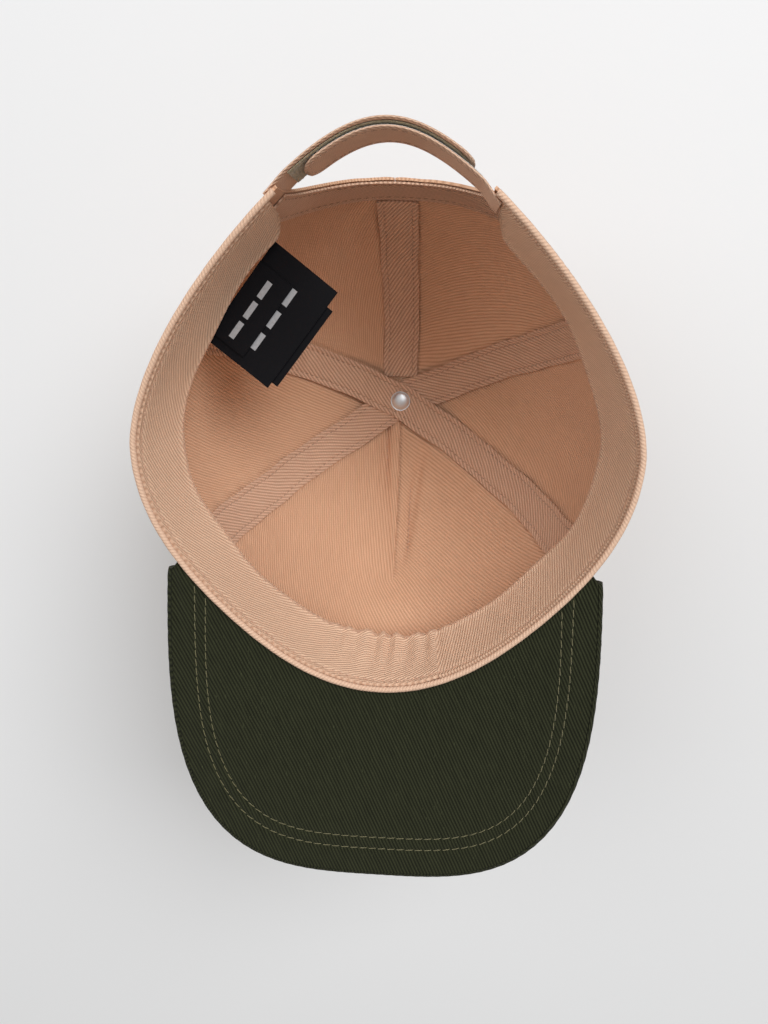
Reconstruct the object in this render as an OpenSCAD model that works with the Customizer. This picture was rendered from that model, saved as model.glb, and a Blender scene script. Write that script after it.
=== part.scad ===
// Five-panel baseball cap with a touch-fastener strap across a bound arch at the back.
// +Z is up as the cap is worn, the visor points along -Y and the wearer's left is +X.
// The origin is the middle of the head opening, level with its side edges.
// Angles round the cap start at the middle of the front and grow towards the wearer's left.

/* [Crown] */
// Half the width of the head opening
half_width = 87.5; // [75:0.5:95]
// From the origin to the front edge of the opening
front_reach = 91.5; // [80:0.5:100]
// From the origin to the back edge of the opening
rear_reach = 101; // [88:1:108]
// Height of the crown above the side edges of the opening
crown_height = 122; // [105:1:135]
// Roundness of the crown's shoulders, 2 for an ellipse
crown_round = 2.2; // [2:0.05:2.5]
// How far the top of the crown sits behind the origin
top_shift = 4; // [0:1:8]
// Share by which the front corners of the opening are drawn in
corner_ease = 0.065; // [0:0.005:0.1]
// Share by which the back of the opening narrows
rear_pinch = 0.41; // [0.2:0.01:0.5]
// How far the front edge rises
front_lift = 5; // [0:0.5:8]
// How far the back edge drops
rear_drop = 8; // [4:0.5:12]
// Thickness of the crown twill
cloth = 1.0; // [0.8:0.1:1.4]

/* [Seams] */
// Angle from the front to each front seam
front_seam = 60; // [54:1:66]
// Angle from the front to each rear seam
rear_seam = 113; // [105:1:120]
// Width of the seam tape
tape_w = 16; // [12:0.5:20]
// Thickness of the seam tape
tape_t = 0.7; // [0.5:0.1:0.9]
// Space between two layers of cloth
layer_gap = 0.3; // [0.2:0.05:0.4]

/* [Rear arch] */
// Half the angle that the arch takes at the rim
arch_half = 34; // [28:1:38]
// Height of the arch above the back edge
arch_h = 53; // [44:1:60]
// Width of the tape that binds the arch
binding_w = 13; // [9:0.5:16]

/* [Sweatband] */
// Depth of the sweatband
band_h = 33; // [26:1:38]
// How far its loose top edge leans in
band_lean = 4.2; // [2:0.2:6]
// Thickness of the sweatband
band_t = 1.0; // [0.8:0.1:1.4]
// Thickness of the rolled binding round the rim
rim_roll = 2.2; // [1.6:0.1:2.6]

/* [Visor] */
// Length of the visor in front of the crown
visor_l = 73; // [62:1:80]
// How far the visor's sides stand out past the crown's front corners
visor_flare = 6.4; // [5:0.2:9]
// How much narrower the visor is where it meets the crown
visor_waist = 3.5; // [2:0.5:4]
// How far the tip lies below the front edge of the crown
visor_drop = 11; // [6:1:16]
// Thickness of the board inside the visor
board_t = 1.6; // [1.2:0.1:2.2]
// Thickness of each visor cover
cover_t = 0.8; // [0.6:0.1:1.0]
// Width of the rolled lip round the edge
lip_w = 1.8; // [1.4:0.1:2.4]

/* [Closure] */
// Depth of the two straps
strap_h = 22; // [18:1:25]
// Thickness of the twill in a strap
strap_t = 0.9; // [0.7:0.1:1.2]
// Thickness of the hook tape and of the loop tape
pile_t = 0.6; // [0.5:0.1:0.8]
// Angle from each root to the end of the other strap
strap_short = 5; // [3:1:10]

/* [Button and labels] */
// Width of the covered button
button_d = 15; // [12:0.5:18]
// Width of the rivet inside the crown
rivet_d = 9.4; // [8:0.2:11]
// Length of the brand label
label_l = 44; // [36:1:48]
// Width of the brand label
label_w = 26; // [20:1:28]
// Length of the size label
size_l = 32; // [20:1:36]
// Width of the size label
size_w = 12; // [8:1:16]

/* [Hidden] */

PEACH = [0.86, 0.66, 0.53];
OLIVE = [0.17, 0.18, 0.11];
STEEL = [0.78, 0.79, 0.80];
PILE = [0.62, 0.57, 0.42];
HOOK = [0.90, 0.90, 0.86];
SATIN = [0.05, 0.05, 0.06];

top_turn = 87;           // panels stop this many degrees up, under the button and the rivet
seam_turn = 0.1;         // half the gap at a seam, in degrees round the cap
panel_steps = 14;        // rows up each panel
visor_turn = 63;         // the visor's corners lie this many degrees round the rim
arch_at = 180 - arch_half;
arch_turn = turn_at(180, arch_h - rear_drop);
binding_turn = turn_at(180, arch_h + binding_w - rear_drop) - arch_turn;
binding_round = binding_w / half_width * 57.3 * 1.1;
shank_r = 1.5;           // the rivet's shank
running = 0.15;          // clearance of the shank in the button core
tape_start = 6.5;        // tapes start this many degrees up, above the sweatband's sewn edge
cross_flat = 90 - asin(1.15 * tape_w / half_width);  // cross tapes run over each other above this
cross_ramp = cross_flat - 12;                        // and lie against the crown below this
label_gap = 0.8;         // from one label to the next
label_t = 0.4;           // thickness of a label
label_from = 112;        // the labels' seam runs between these angles round the cap
label_to = 139;

// ---- the shape of the crown ----

function back(t) = max(0, -cos(t));
function ease(t, up) = cos(t) > 0 ? 1 - corner_ease * (1 - up) * pow(sin(2 * t), 2) : 1;
function rim_z(t) = cos(t) > 0 ? front_lift * pow(cos(t), 2) : -rear_drop * pow(cos(t), 2);

// A point on the outside of the crown: t degrees round, p degrees up from the rim to the top.
function crown(t, p) =
    let (
        r = pow(pow(abs(sin(p)), crown_round) + pow(cos(p), crown_round), -1 / crown_round),
        up = r * sin(p),
        out = r * cos(p),
        narrow = 1 - rear_pinch * (1 - up) * pow(back(t), 1.5),
        reach = cos(t) > 0 ? front_reach : rear_reach
    )
    [
        half_width * sin(t) * ease(t, up) * narrow * out,
        -reach * cos(t) * ease(t, up) * out + top_shift * (1 - out),
        rim_z(t) * (1 - up) + crown_height * up
    ];

function unit(v) = v / norm(v);

// The outward direction at that point.
function crown_normal(t, p) =
    p > 89.5 ? [0, 0, 1] :
    unit(cross(crown(t + 0.4, p) - crown(t - 0.4, p), crown(t, p + 0.4) - crown(t, p - 0.4)));

// A point at a depth inside (negative) or outside the crown's surface.
function at_depth(t, p, depth) = crown(t, p) + depth * crown_normal(t, p);

// The number of degrees up at which the crown reaches height z.
function turn_at(t, z) =
    let (up = (z - rim_z(t)) / (crown_height - rim_z(t)))
    atan2(up, pow(1 - pow(up, crown_round), 1 / crown_round));

function flat(rows) = [for (row = rows) each row];

// A solid between two grids of points, one outside and one inside, with walls along its edges.
// Columns run round the cap towards the wearer's left and rows run upwards.
module sheet(outer, inner) {
    nr = len(outer);
    nc = len(outer[0]);
    n = nr * nc;
    faces = concat(
        [for (i = [0:nr - 2], j = [0:nc - 2])
            let (a = i * nc + j, b = a + 1, c = b + nc, d = a + nc)
            each [[a, d, c], [a, c, b], [a + n, c + n, d + n], [a + n, b + n, c + n]]],
        [for (j = [0:nc - 2])
            let (a = j, b = j + 1, d = (nr - 1) * nc + j, c = d + 1)
            each [[a, b, b + n], [a, b + n, a + n], [c, d, d + n], [c, d + n, c + n]]],
        [for (i = [0:nr - 2])
            let (a = i * nc, d = a + nc, b = a + nc - 1, c = b + nc)
            each [[d, a, a + n], [d, a + n, d + n], [b, c, c + n], [b, c + n, b + n]]]
    );
    polyhedron(points = concat(flat(outer), flat(inner)), faces = faces);
}

// A piece of crown cloth over grid, a list of rows of [t, p], between two depths.
module crown_piece(grid, depth, thick) {
    sheet(
        [for (row = grid) [for (g = row) at_depth(g[0], g[1], depth)]],
        [for (row = grid) [for (g = row) at_depth(g[0], g[1], depth - thick)]]
    );
}

function panel_grid(columns) =
    [for (i = [0:panel_steps])
        [for (c = columns) [c[0], c[1] + (top_turn - c[1]) * i / panel_steps]]];

// Points of the arch's edge: s runs from 0 at the rim on the left to 180 at the rim on the right.
function arch_edge(s, wider, higher) = [
    180 - (arch_half + wider) * sign(cos(s)) * pow(abs(cos(s)), 0.9),
    (arch_turn + higher) * pow(sin(s), 0.95)
];

// ---- crown ----

module front_panel() {
    last = front_seam - seam_turn;
    color(PEACH) crown_piece(
        panel_grid([for (k = [-12:12]) [last * k / 12, 0]]), 0, cloth);
}

module side_panel() {
    first = front_seam + seam_turn;
    last = rear_seam - seam_turn;
    color(PEACH) crown_piece(
        panel_grid([for (k = [0:10]) [first + (last - first) * k / 10, 0]]), 0, cloth);
}

module rear_panel() {
    first = rear_seam + seam_turn;
    plain = [for (k = [0:4]) [first + (arch_at - 0.6 - first) * k / 4, 0]];
    arch = [for (k = [0:10])
        let (e = arch_edge(90 * k / 10, 0, 0)) [min(e[0], 180 - seam_turn), e[1]]];
    color(PEACH) crown_piece(panel_grid(concat(plain, arch)), 0, cloth);
}

tape_depth = -(cloth + layer_gap);

// How far a cross tape is lifted where it runs over the tapes under it.
function lift_at(p) =
    let (k = min(1, max(0, (p - cross_ramp) / (cross_flat - cross_ramp)))) k * k * (3 - 2 * k);

// How far the crown falls away half a tape's width to either side of a point.
function edge_drop(t, p) =
    let (
        q = min(p, 70),
        mid = crown(t, q),
        turn = tape_w / norm(crown(t + 1, q) - crown(t - 1, q)),
        fall = mid - (crown(t + turn, q) + crown(t - turn, q)) / 2
    )
    fall * crown_normal(t, q);

// A flat tape along path, a list of [t, p, depth], bent across itself to lie on the crown.
module tape(path) {
    mid = [for (q = path) crown(q[0], q[1])];
    up = [for (q = path) crown_normal(q[0], q[1])];
    last = len(path) - 1;
    side = [for (k = [0:last])
        unit(cross(mid[min(last, k + 1)] - mid[max(0, k - 1)], up[k]))];
    drop = [for (q = path) edge_drop(q[0], q[1])];
    across = [-1, -0.33, 0.33, 1];
    function point(k, a, thick) =
        mid[k] - side[k] * a * tape_w / 2 + up[k] * (path[k][2] - thick - drop[k] * a * a);
    sheet(
        [for (a = across) [for (k = [0:last]) point(k, a, 0)]],
        [for (a = across) [for (k = [0:last]) point(k, a, tape_t)]]
    );
}

module rear_centre_tape() {
    start = arch_turn + binding_turn + 0.6;
    stop = 83;
    color(PEACH) tape([for (k = [0:12]) [180, start + (stop - start) * k / 12, tape_depth]]);
}

// A continuous tape up one rear seam, over the top and down the front seam opposite.
module cross_tape(rear_t, front_t, layer) {
    lift = layer * (tape_t + layer_gap);
    rise = [for (k = [0:15]) let (p = tape_start + (90 - tape_start) * k / 15) p];
    color(PEACH) tape(concat(
        [for (p = rise) [rear_t, p, tape_depth - lift * lift_at(p)]],
        [for (k = [14:-1:0]) [front_t, rise[k], tape_depth - lift * lift_at(rise[k])]]
    ));
}

module lower_cross_tape() cross_tape(-rear_seam, front_seam, 1);

module upper_cross_tape() cross_tape(rear_seam, -front_seam, 2);

module arch_binding() {
    low = 16;
    wide = [0, 0.5, 1];
    grid = [for (w = wide)
        [for (k = [0:24])
            arch_edge(low + (180 - 2 * low) * k / 24, 0.4 + binding_round * w, 0.3 + binding_turn * w)]];
    color(PEACH) crown_piece(grid, tape_depth, tape_t);
}

// The rolled edge that closes the crown and the sweatband round the rim.
module rim_binding() {
    r = rim_roll / 2;
    span = arch_at - 1;
    steps = 48;
    ring = [for (k = [0:7]) [cos(45 * k), sin(45 * k)]];
    points = [for (k = [-steps:steps])
        let (t = span * k / steps, out = unit([crown_normal(t, 0)[0], crown_normal(t, 0)[1], 0]),
             mid = crown(t, 0) - out * (cloth + 0.2) - [0, 0, r + 0.2])
        [for (c = ring) mid + out * r * c[0] + [0, 0, r * c[1]]]];
    n = len(ring);
    last = len(points) - 1;
    faces = concat(
        [for (k = [0:last - 1], j = [0:n - 1])
            let (a = k * n + j, b = k * n + (j + 1) % n, c = b + n, d = a + n)
            each [[a, b, c], [a, c, d]]],
        [for (j = [1:n - 2]) [0, j + 1, j]],
        [for (j = [1:n - 2]) [last * n, last * n + j, last * n + j + 1]]
    );
    color(PEACH) polyhedron(points = flat(points), faces = faces);
}

// ---- sweatband ----

band_rows = 5;
band_depth = -(cloth + layer_gap + 0.1);

function band_point(t, v, extra) =
    at_depth(t, turn_at(t, rim_z(t) + 1 + (band_h - 1) * v), band_depth - band_lean * v - extra);

module sweatband() {
    span = arch_at - 3;
    steps = 36;
    end_round = 4;
    // the last stretch at each end comes down in a curve
    function top(t) = 1 - 0.55 * pow(max(0, (abs(t) - span + end_round) / end_round), 2);
    color(PEACH) sheet(
        [for (i = [0:band_rows]) [for (k = [-steps:steps])
            let (t = span * k / steps) band_point(t, top(t) * i / band_rows, 0)]],
        [for (i = [0:band_rows]) [for (k = [-steps:steps])
            let (t = span * k / steps) band_point(t, top(t) * i / band_rows, band_t)]]
    );
}

// ---- button ----

crown_top = [0, top_shift, crown_height];
button_h = 4.6;
seat = 0.3;              // the button stands this far above the cloth
button_wall = 0.9;       // thickness of the twill over the core
socket_h = 1.8;          // depth of the core's socket
rivet_h = 2.0;           // height of the rivet's dome
rivet_top = cloth + layer_gap + 3 * (tape_t + layer_gap);

module on_top() translate(crown_top) rotate_extrude($fn = 96) children();

// Half the outline of a dome of radius r and height h, from floor upwards.
module dome(r, h, floor) {
    intersection() {
        scale([1, h / r]) circle(r = r, $fn = 64);
        translate([0, floor]) square([r, h]);
    }
}

// The twill shell of the button, hollow for the metal core.
module button_cover() {
    color(PEACH) on_top() difference() {
        dome(button_d / 2, button_h, seat);
        dome(button_d / 2 - button_wall, button_h - button_wall, 0);
    }
}

// The metal core, with a blind socket for the rivet's shank.
module button_core() {
    play = button_wall + 0.2;
    color(STEEL) on_top() difference() {
        dome(button_d / 2 - play, button_h - play, seat + 0.1);
        square([shank_r + running, socket_h]);
    }
}

// The domed rivet inside the crown, whose shank pierces the tapes.
module inner_rivet() {
    foot = rivet_top + 0.2;
    color(STEEL) on_top() union() {
        translate([0, -foot]) square([shank_r, foot + socket_h - 0.4]);
        translate([0, -foot]) mirror([0, 1]) dome(rivet_d / 2, rivet_h, 0);
    }
}

// ---- visor ----

visor_off = 0.4;         // space between the crown and the visor's base
visor_sink = 0.5;        // the under cover starts this far below the rim
corner = crown(visor_turn, 0);
visor_half = corner[0] + visor_flare;
tip_y = -(front_reach + visor_l);

// The visor's base, along the outside of the rim.
function visor_base(b, out) =
    let (t = visor_turn * b / 90, n = crown_normal(t, 0), flat_n = unit([n[0], n[1], 0]))
    crown(t, 0) + flat_n * (visor_off + out);

// The visor's edge, set in by a given amount; b runs from -90 to 90 across the visor.
function visor_edge(b, inset) =
    let (
        n = 3.3,
        r = pow(pow(abs(sin(b)), n) + pow(cos(b), n), -1 / n),
        forward = r * cos(b),
        half = visor_half - visor_waist * pow(1 - forward, 2) - inset
    )
    [
        half * r * sin(b),
        corner[1] + (tip_y + inset - corner[1]) * forward,
        rim_z(visor_turn) * (1 - forward) + (front_lift - visor_drop) * forward
    ];

function mix(a, b, v) = a + (b - a) * v;

// A row of points across the visor, v of the way from the base to the edge, raised by z.
function visor_row(v, inset, z, span) =
    [for (k = [-18:18])
        let (b = span * k / 18)
        mix(visor_base(b, 0), visor_edge(b, inset), v) + [0, 0, z]];

visor_rows = [0, 0.25, 0.5, 0.75, 1];
board_z = cover_t + 0.2 - visor_sink;
top_z = board_z + board_t + 0.2;

module visor_under_cover() {
    span = 88;
    inset = lip_w + 0.2;
    color(OLIVE) sheet(
        [for (v = visor_rows) visor_row(1 - v, inset, cover_t - visor_sink, span)],
        [for (v = visor_rows) visor_row(1 - v, inset, -visor_sink, span)]
    );
}

module visor_board() {
    span = 80;
    inset = lip_w + 1.4;
    color("whitesmoke") sheet(
        [for (v = visor_rows) visor_row(1 - v, inset, board_z + board_t, span)],
        [for (v = visor_rows) visor_row(1 - v, inset, board_z, span)]
    );
}

// The top cover turns down over the edge and ends in a rolled lip.
module visor_top_cover() {
    span = 88;
    lip = visor_sink + 0.2;
    face = top_z + cover_t;
    wall = 0.004;        // the lip's inner wall stands on this share of the visor's length
    plate = [wall, 0.25, 0.5, 0.75, 1];
    color(OLIVE) sheet(
        concat(
            [visor_row(1, 0, face - 0.5, span), visor_row(1, 0.5, face, span)],
            [visor_row(1, lip_w, face, span)],
            [for (v = plate) visor_row(1 - v, lip_w, face, span)]
        ),
        concat(
            [visor_row(1, 0, 0.1 - lip, span), visor_row(1, 0.5, -lip, span)],
            [visor_row(1, lip_w, -lip, span)],
            [for (v = plate) visor_row(1 - v, lip_w, top_z, span)]
        )
    );
}

// ---- closure ----

root_turn = 1.5;         // the roots stand this many degrees inside the arch
left_root = arch_at + root_turn;
right_root = 360 - left_root;

// A strap across the arch that follows the line of the rim, with one rounded end.
module strap(from, to, depth, thick, round_to, low, high) {
    steps = 22;
    function tall(t) =
        let (d = abs(t - to) / 5) round_to && d < 1 ? sqrt(1 - pow(1 - d, 2)) * 0.7 + 0.3 : 1;
    function wall(t, f, d) =
        let (n = crown_normal(t, 0), out = unit([n[0], n[1], 0]), mid = (low + high) / 2)
        crown(t, 0) + out * d + [0, 0, mid + (high - low) / 2 * (2 * f - 1) * tall(t)];
    lo = min(from, to);
    hi = max(from, to);
    sheet(
        [for (f = [0, 0.5, 1]) [for (k = [0:steps]) wall(lo + (hi - lo) * k / steps, f, depth)]],
        [for (f = [0, 0.5, 1]) [for (k = [0:steps]) wall(lo + (hi - lo) * k / steps, f, depth - thick)]]
    );
}

pile_in = 1.6;           // the tapes are set in by this much from a strap's edges
hook_depth = -0.8;       // outer face of the hook strap's twill
hook_face = hook_depth + 0.1 + pile_t;
loop_face = hook_face + layer_gap;

module hook_strap() {
    color(PEACH)
        strap(right_root, left_root + strap_short, hook_depth, strap_t, true, 0, strap_h);
}

module hook_tape() {
    color(HOOK) strap(right_root - 2, left_root + strap_short + 1.5, hook_face, pile_t, true,
                      pile_in, strap_h - pile_in);
}

module loop_tape() {
    color(PILE) strap(left_root + 2, right_root - strap_short - 1.5, loop_face + pile_t, pile_t, true,
                      pile_in, strap_h - pile_in);
}

module loop_strap() {
    color(PEACH) strap(left_root, right_root - strap_short, loop_face + pile_t + 0.1 + strap_t,
                       strap_t, true, 0, strap_h);
}

// ---- labels ----

seam_a = band_point(label_from, 1, band_t + 0.6);
seam_b = band_point(label_to, 1, band_t + 0.6);
seam_turn_z = atan2(seam_b[1] - seam_a[1], seam_b[0] - seam_a[0]);
label_z = max(seam_a[2], seam_b[2]) + 0.6;

// A flat label that hangs inwards from the labels' seam: along is where it starts on the seam.
module label(along, long, wide, level) {
    color(SATIN) translate([seam_a[0], seam_a[1], label_z + level * label_gap])
        rotate([0, 0, seam_turn_z]) translate([along, 0.4, 0]) cube([long, wide, label_t]);
}

module size_label() label(4, size_l, size_w, 0);

module brand_label() label(0.5, label_l, label_w, 1);

module care_label() label(3, label_l - 9, label_w + 2.5, 2);

front_panel();
side_panel();  // side_panel_left
mirror([1, 0, 0]) side_panel();  // side_panel_right
rear_panel();  // rear_panel_left
mirror([1, 0, 0]) rear_panel();  // rear_panel_right
rear_centre_tape();
lower_cross_tape();
upper_cross_tape();
arch_binding();
rim_binding();
sweatband();
button_cover();
button_core();
inner_rivet();
visor_board();
visor_top_cover();
visor_under_cover();
loop_strap();
loop_tape();
hook_strap();
hook_tape();
brand_label();
size_label();
care_label();
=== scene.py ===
# %% [markdown]
# # A five-panel baseball cap
# The cap is twill cloth almost everywhere, so this lesson is about cloth that keeps a shape. The packed
# model gives the size and the place of every piece. Each cloth piece is then made again as a fine grid
# of points with a formula, because cloth has folds, seams and stitches that a plain solid has not.
# Simulation was the other way. It was not used, because a sewn and pressed cap holds its form and its
# few folds lie in known places.

# %% Load the fixed frame
import math

import bpy
import numpy as np
from mathutils import Matrix


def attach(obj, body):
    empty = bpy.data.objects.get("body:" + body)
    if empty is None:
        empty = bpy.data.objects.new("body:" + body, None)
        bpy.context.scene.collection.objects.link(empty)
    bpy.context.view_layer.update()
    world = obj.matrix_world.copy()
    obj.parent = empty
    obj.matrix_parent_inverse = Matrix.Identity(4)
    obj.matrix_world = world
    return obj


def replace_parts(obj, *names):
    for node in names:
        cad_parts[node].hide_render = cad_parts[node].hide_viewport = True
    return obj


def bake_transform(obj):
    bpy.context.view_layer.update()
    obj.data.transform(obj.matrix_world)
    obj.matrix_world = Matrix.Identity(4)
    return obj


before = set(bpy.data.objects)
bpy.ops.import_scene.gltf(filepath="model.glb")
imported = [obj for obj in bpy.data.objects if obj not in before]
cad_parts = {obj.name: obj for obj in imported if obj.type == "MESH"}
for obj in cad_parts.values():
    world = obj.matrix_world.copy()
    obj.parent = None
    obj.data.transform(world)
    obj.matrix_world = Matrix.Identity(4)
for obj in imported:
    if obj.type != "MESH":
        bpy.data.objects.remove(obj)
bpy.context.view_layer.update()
MM = 0.001

# %% [markdown]
# ## The shape of the crown
# The crown is a dome over an opening that is narrower behind. Two angles place a point on it: `t` is the
# turn round the cap from the middle of the front towards the wearer's left, and `p` is the turn up from
# the rim to the top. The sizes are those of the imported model, in millimetres.

# %% Crown sizes
HALF_WIDTH = 87.5
FRONT_REACH = 91.5
REAR_REACH = 101.0
CROWN_HEIGHT = 122.0
ROUND = 2.2
TOP_SHIFT = 4.0
CORNER_EASE = 0.065
REAR_PINCH = 0.41
FRONT_LIFT = 5.0
REAR_DROP = 8.0
CLOTH = 1.0
GAP = 0.3
FRONT_SEAM = 60.0
REAR_SEAM = 113.0
TOP_TURN = 87.0


# %% Crown formulas
def sin_of(angle):
    return np.sin(np.radians(angle))


def cos_of(angle):
    return np.cos(np.radians(angle))


def unit(v):
    """Each vector divided by its own length."""
    return v / np.linalg.norm(v, axis=-1, keepdims=True)


def smooth(x):
    """0 below 0, 1 above 1 and a soft step between."""
    x = np.clip(x, 0, 1)
    return x * x * (3 - 2 * x)


def bell(x, width):
    """1 at zero, falling off like a bell on both sides."""
    return np.exp(-((x / width) ** 2))


def rim_z(t):
    """Height of the rim: it rises towards the front and drops towards the back with the cosine squared."""
    c = cos_of(t)
    return np.where(c > 0, FRONT_LIFT, -REAR_DROP) * c**2


def crown(t, p):
    """A point on the outside of the crown. A superellipse turns p into a share of the height, up, and a
    share of the reach, out. The opening's width is eased at the front corners and pinched behind."""
    t, p = np.broadcast_arrays(np.asarray(t, float), np.asarray(p, float))
    r = (np.abs(sin_of(p)) ** ROUND + np.abs(cos_of(p)) ** ROUND) ** (-1 / ROUND)
    up, out = r * sin_of(p), r * cos_of(p)
    c = cos_of(t)
    ease = np.where(c > 0, 1 - CORNER_EASE * (1 - up) * sin_of(2 * t) ** 2, 1.0)
    narrow = 1 - REAR_PINCH * (1 - up) * np.maximum(0, -c) ** 1.5
    reach = np.where(c > 0, FRONT_REACH, REAR_REACH)
    x = HALF_WIDTH * sin_of(t) * ease * narrow * out
    y = -reach * c * ease * out + TOP_SHIFT * (1 - out)
    return np.stack([x, y, rim_z(t) * (1 - up) + CROWN_HEIGHT * up], -1)


def crown_normal(t, p):
    """The outward direction: the step round the cap crossed with the step up it."""
    t, p = np.broadcast_arrays(np.asarray(t, float), np.asarray(p, float))
    step = 0.4
    n = np.cross(crown(t + step, p) - crown(t - step, p), crown(t, p + step) - crown(t, p - step))
    n[p > 89.5] = (0, 0, 1)
    return unit(n)


def rim_point(t):
    return crown(t, 0 * t)


def level_out(t):
    """The outward direction at the rim, made level."""
    n = crown_normal(t, 0 * t)
    n[..., 2] = 0
    return unit(n)


def upright(z):
    """A vertical step of z at each point."""
    return np.stack([0 * z, 0 * z, z], -1)


def over_grid(a, b):
    """Two rows of numbers spread over one grid: a along its columns and b up its rows."""
    return a[None] + 0 * b[:, None], b[:, None] + 0 * a[None]


def turn_at(t, z):
    """The turn up at which the crown reaches height z."""
    up = (z - rim_z(t)) / (CROWN_HEIGHT - rim_z(t))
    return np.degrees(np.arctan2(up, (1 - np.abs(up) ** ROUND) ** (1 / ROUND)))


def sway(t, p):
    """Soft unevenness of the unlined crown in mm: three long waves that fade out at the rim and the top."""
    fade = np.sin(np.pi * np.clip(p / 86, 0, 1)) ** 0.8
    a, b = np.radians(t), np.radians(p)
    waves = 0.65 * np.sin(3 * a + 2 * b + 1.1) + 0.45 * np.sin(5 * a + 4 * b - 0.6)
    return fade * (waves + 0.3 * np.sin(9 * a - 3 * b + 2.3))


def on_crown(t, p, depth):
    """A point at a depth from the crown's outside, in mm, with the cloth's sway added."""
    return crown(t, p) + (depth + sway(t, p))[..., None] * crown_normal(t, p)


ring = crown(np.linspace(-180, 180, 721), 0.0)
print("rim, mm round:", round(float(np.linalg.norm(np.diff(ring, axis=0), axis=1).sum()), 1))

# %% [markdown]
# ## From grids to meshes
# A cloth piece is two grids of points, its outer and its inner face, with a wall along each edge. The
# faces are worked out as whole arrays. Each mesh also gets a UV map named `cloth`, which says where the
# point lay on the flat cloth before it was sewn, in metres: first across the wales, the diagonal ribs of
# twill, and then along them. The weave then follows every curve and fold, as real cloth does.


# %% Mesh helpers
SHARP_ANGLE = 40


def put_mesh(name, points, faces, material, body=None, slot=None, cloth=None):
    """A new object from points in mm and faces of four. It rides on a body. Its slot argument is not used.
    """
    mesh = bpy.data.meshes.new(name)
    mesh.from_pydata((np.asarray(points) * MM).tolist(), [], np.asarray(faces).tolist())
    if cloth is not None:
        corners = np.asarray(faces).ravel()
        uv = mesh.uv_layers.new(name="cloth")
        uv.data.foreach_set("uv", (cloth[corners] * MM).astype(np.float32).ravel())
    mesh.polygons.foreach_set("use_smooth", np.ones(len(mesh.polygons), bool))
    mesh.set_sharp_from_angle(angle=math.radians(SHARP_ANGLE))
    mesh.materials.append(material)
    mesh.update()
    piece = bpy.data.objects.new(name, mesh)
    bpy.context.scene.collection.objects.link(piece)
    if body:
        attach(piece, body)
    print(name, "points", len(points), "faces", len(faces))
    return piece


def grid_faces(rows, columns):
    """The quads of a grid whose columns run to the right and whose rows run up."""
    a = (np.arange(rows - 1)[:, None] * columns + np.arange(columns - 1)[None]).ravel()
    return np.stack([a, a + 1, a + columns + 1, a + columns], 1)


def shell_faces(rows, columns):
    """Quads of an outer grid, of an inner grid turned round, and of the walls along the four edges."""
    n = rows * columns
    outer = grid_faces(rows, columns)
    j = np.arange(columns - 1)
    top = j + (rows - 1) * columns
    i = np.arange(rows - 1) * columns
    right = i + columns - 1
    walls = [
        [j + n, j + 1 + n, j + 1, j],
        [top, top + 1, top + 1 + n, top + n],
        [i, i + columns, i + columns + n, i + n],
        [right + n, right + columns + n, right + columns, right],
    ]
    return np.concatenate([outer, outer[:, ::-1] + n] + [np.stack(w, 1) for w in walls])


def ring_faces(rings, sides):
    """Quads that join each ring of points to the next, all the way round."""
    j = np.arange(sides)
    at = np.arange(rings - 1)[:, None] * sides
    a, b = (at + j).ravel(), (at + (j + 1) % sides).ravel()
    return np.stack([a, b, b + sides, a + sides], 1)


def repeat_faces(one, size, count):
    """The faces of every copy of a template of so many points."""
    return (one[None] + size * np.arange(count)[:, None, None]).reshape(-1, 4)


def copy_points(middle, axes, steps):
    """The points of every copy of a template. steps gives how far they lie along each of three axes."""
    points = middle[:, None, None]
    for axis, step in zip(axes, steps):
        points = points + step[..., None] * axis[:, None, None]
    return points


def lengths(points, axis):
    """Running length along one axis of a grid of points, starting from zero."""
    step = np.linalg.norm(np.diff(points, axis=axis), axis=-1)
    pad = [(0, 0), (0, 0)]
    pad[axis] = (1, 0)
    return np.pad(np.cumsum(step, axis=axis), pad)


def lean_cloth(across, up, lean):
    """Flat places turned so that the second number runs along wales that lean by so many degrees."""
    s, c = sin_of(lean), cos_of(lean)
    return np.stack([across * c - up * s, across * s + up * c], -1)


def lay_flat(points, lean):
    """Where each point of a grid lies on the flat cloth: its length along the row from the middle
    column and its length up its own column, turned to the lean of the wales."""
    across = lengths(points, 1)
    across = across - across[:, points.shape[1] // 2][:, None]
    return lean_cloth(across, lengths(points, 0), lean)


def plan_cloth(points, lean):
    """The cloth map of a piece that is nearly level: its plan view, turned to the wales."""
    return lean_cloth(points[..., 0], points[..., 1], lean)


def shell(name, outer, inner, material, cloth, **facts):
    """A closed piece of cloth between two grids of points."""
    rows, columns = outer.shape[:2]
    flat = np.concatenate([cloth.reshape(-1, 2)] * 2)
    points = np.concatenate([outer.reshape(-1, 3), inner.reshape(-1, 3)])
    return put_mesh(name, points, shell_faces(rows, columns), material, cloth=flat, **facts)


def sewn(stem, grids, material, slot, cloth, node=None):
    """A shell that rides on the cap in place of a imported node. It is a sheet cut like one of its faces."""
    piece = shell(stem + "_cloth", *grids, material, cloth, body="cap", slot=slot)
    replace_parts(piece, node or stem)


def tube(name, rings, material, cloth, slot, node):
    """A closed tube through rings of points, with a flat cap of quads at each end. Rings turn to the
    left of their path, so that the faces point outwards."""
    n, m = rings.shape[:2]
    k = np.arange(0, m - 2, 2)
    cap = np.stack([np.zeros_like(k), (k + 3) % m, k + 2, k + 1], 1)
    end = (cap + (n - 1) * m)[:, ::-1]
    faces = np.concatenate([ring_faces(n, m), cap, end])
    points, flat = rings.reshape(-1, 3), cloth.reshape(-1, 2)
    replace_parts(put_mesh(name, points, faces, material, "cap", slot, flat), node)


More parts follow.
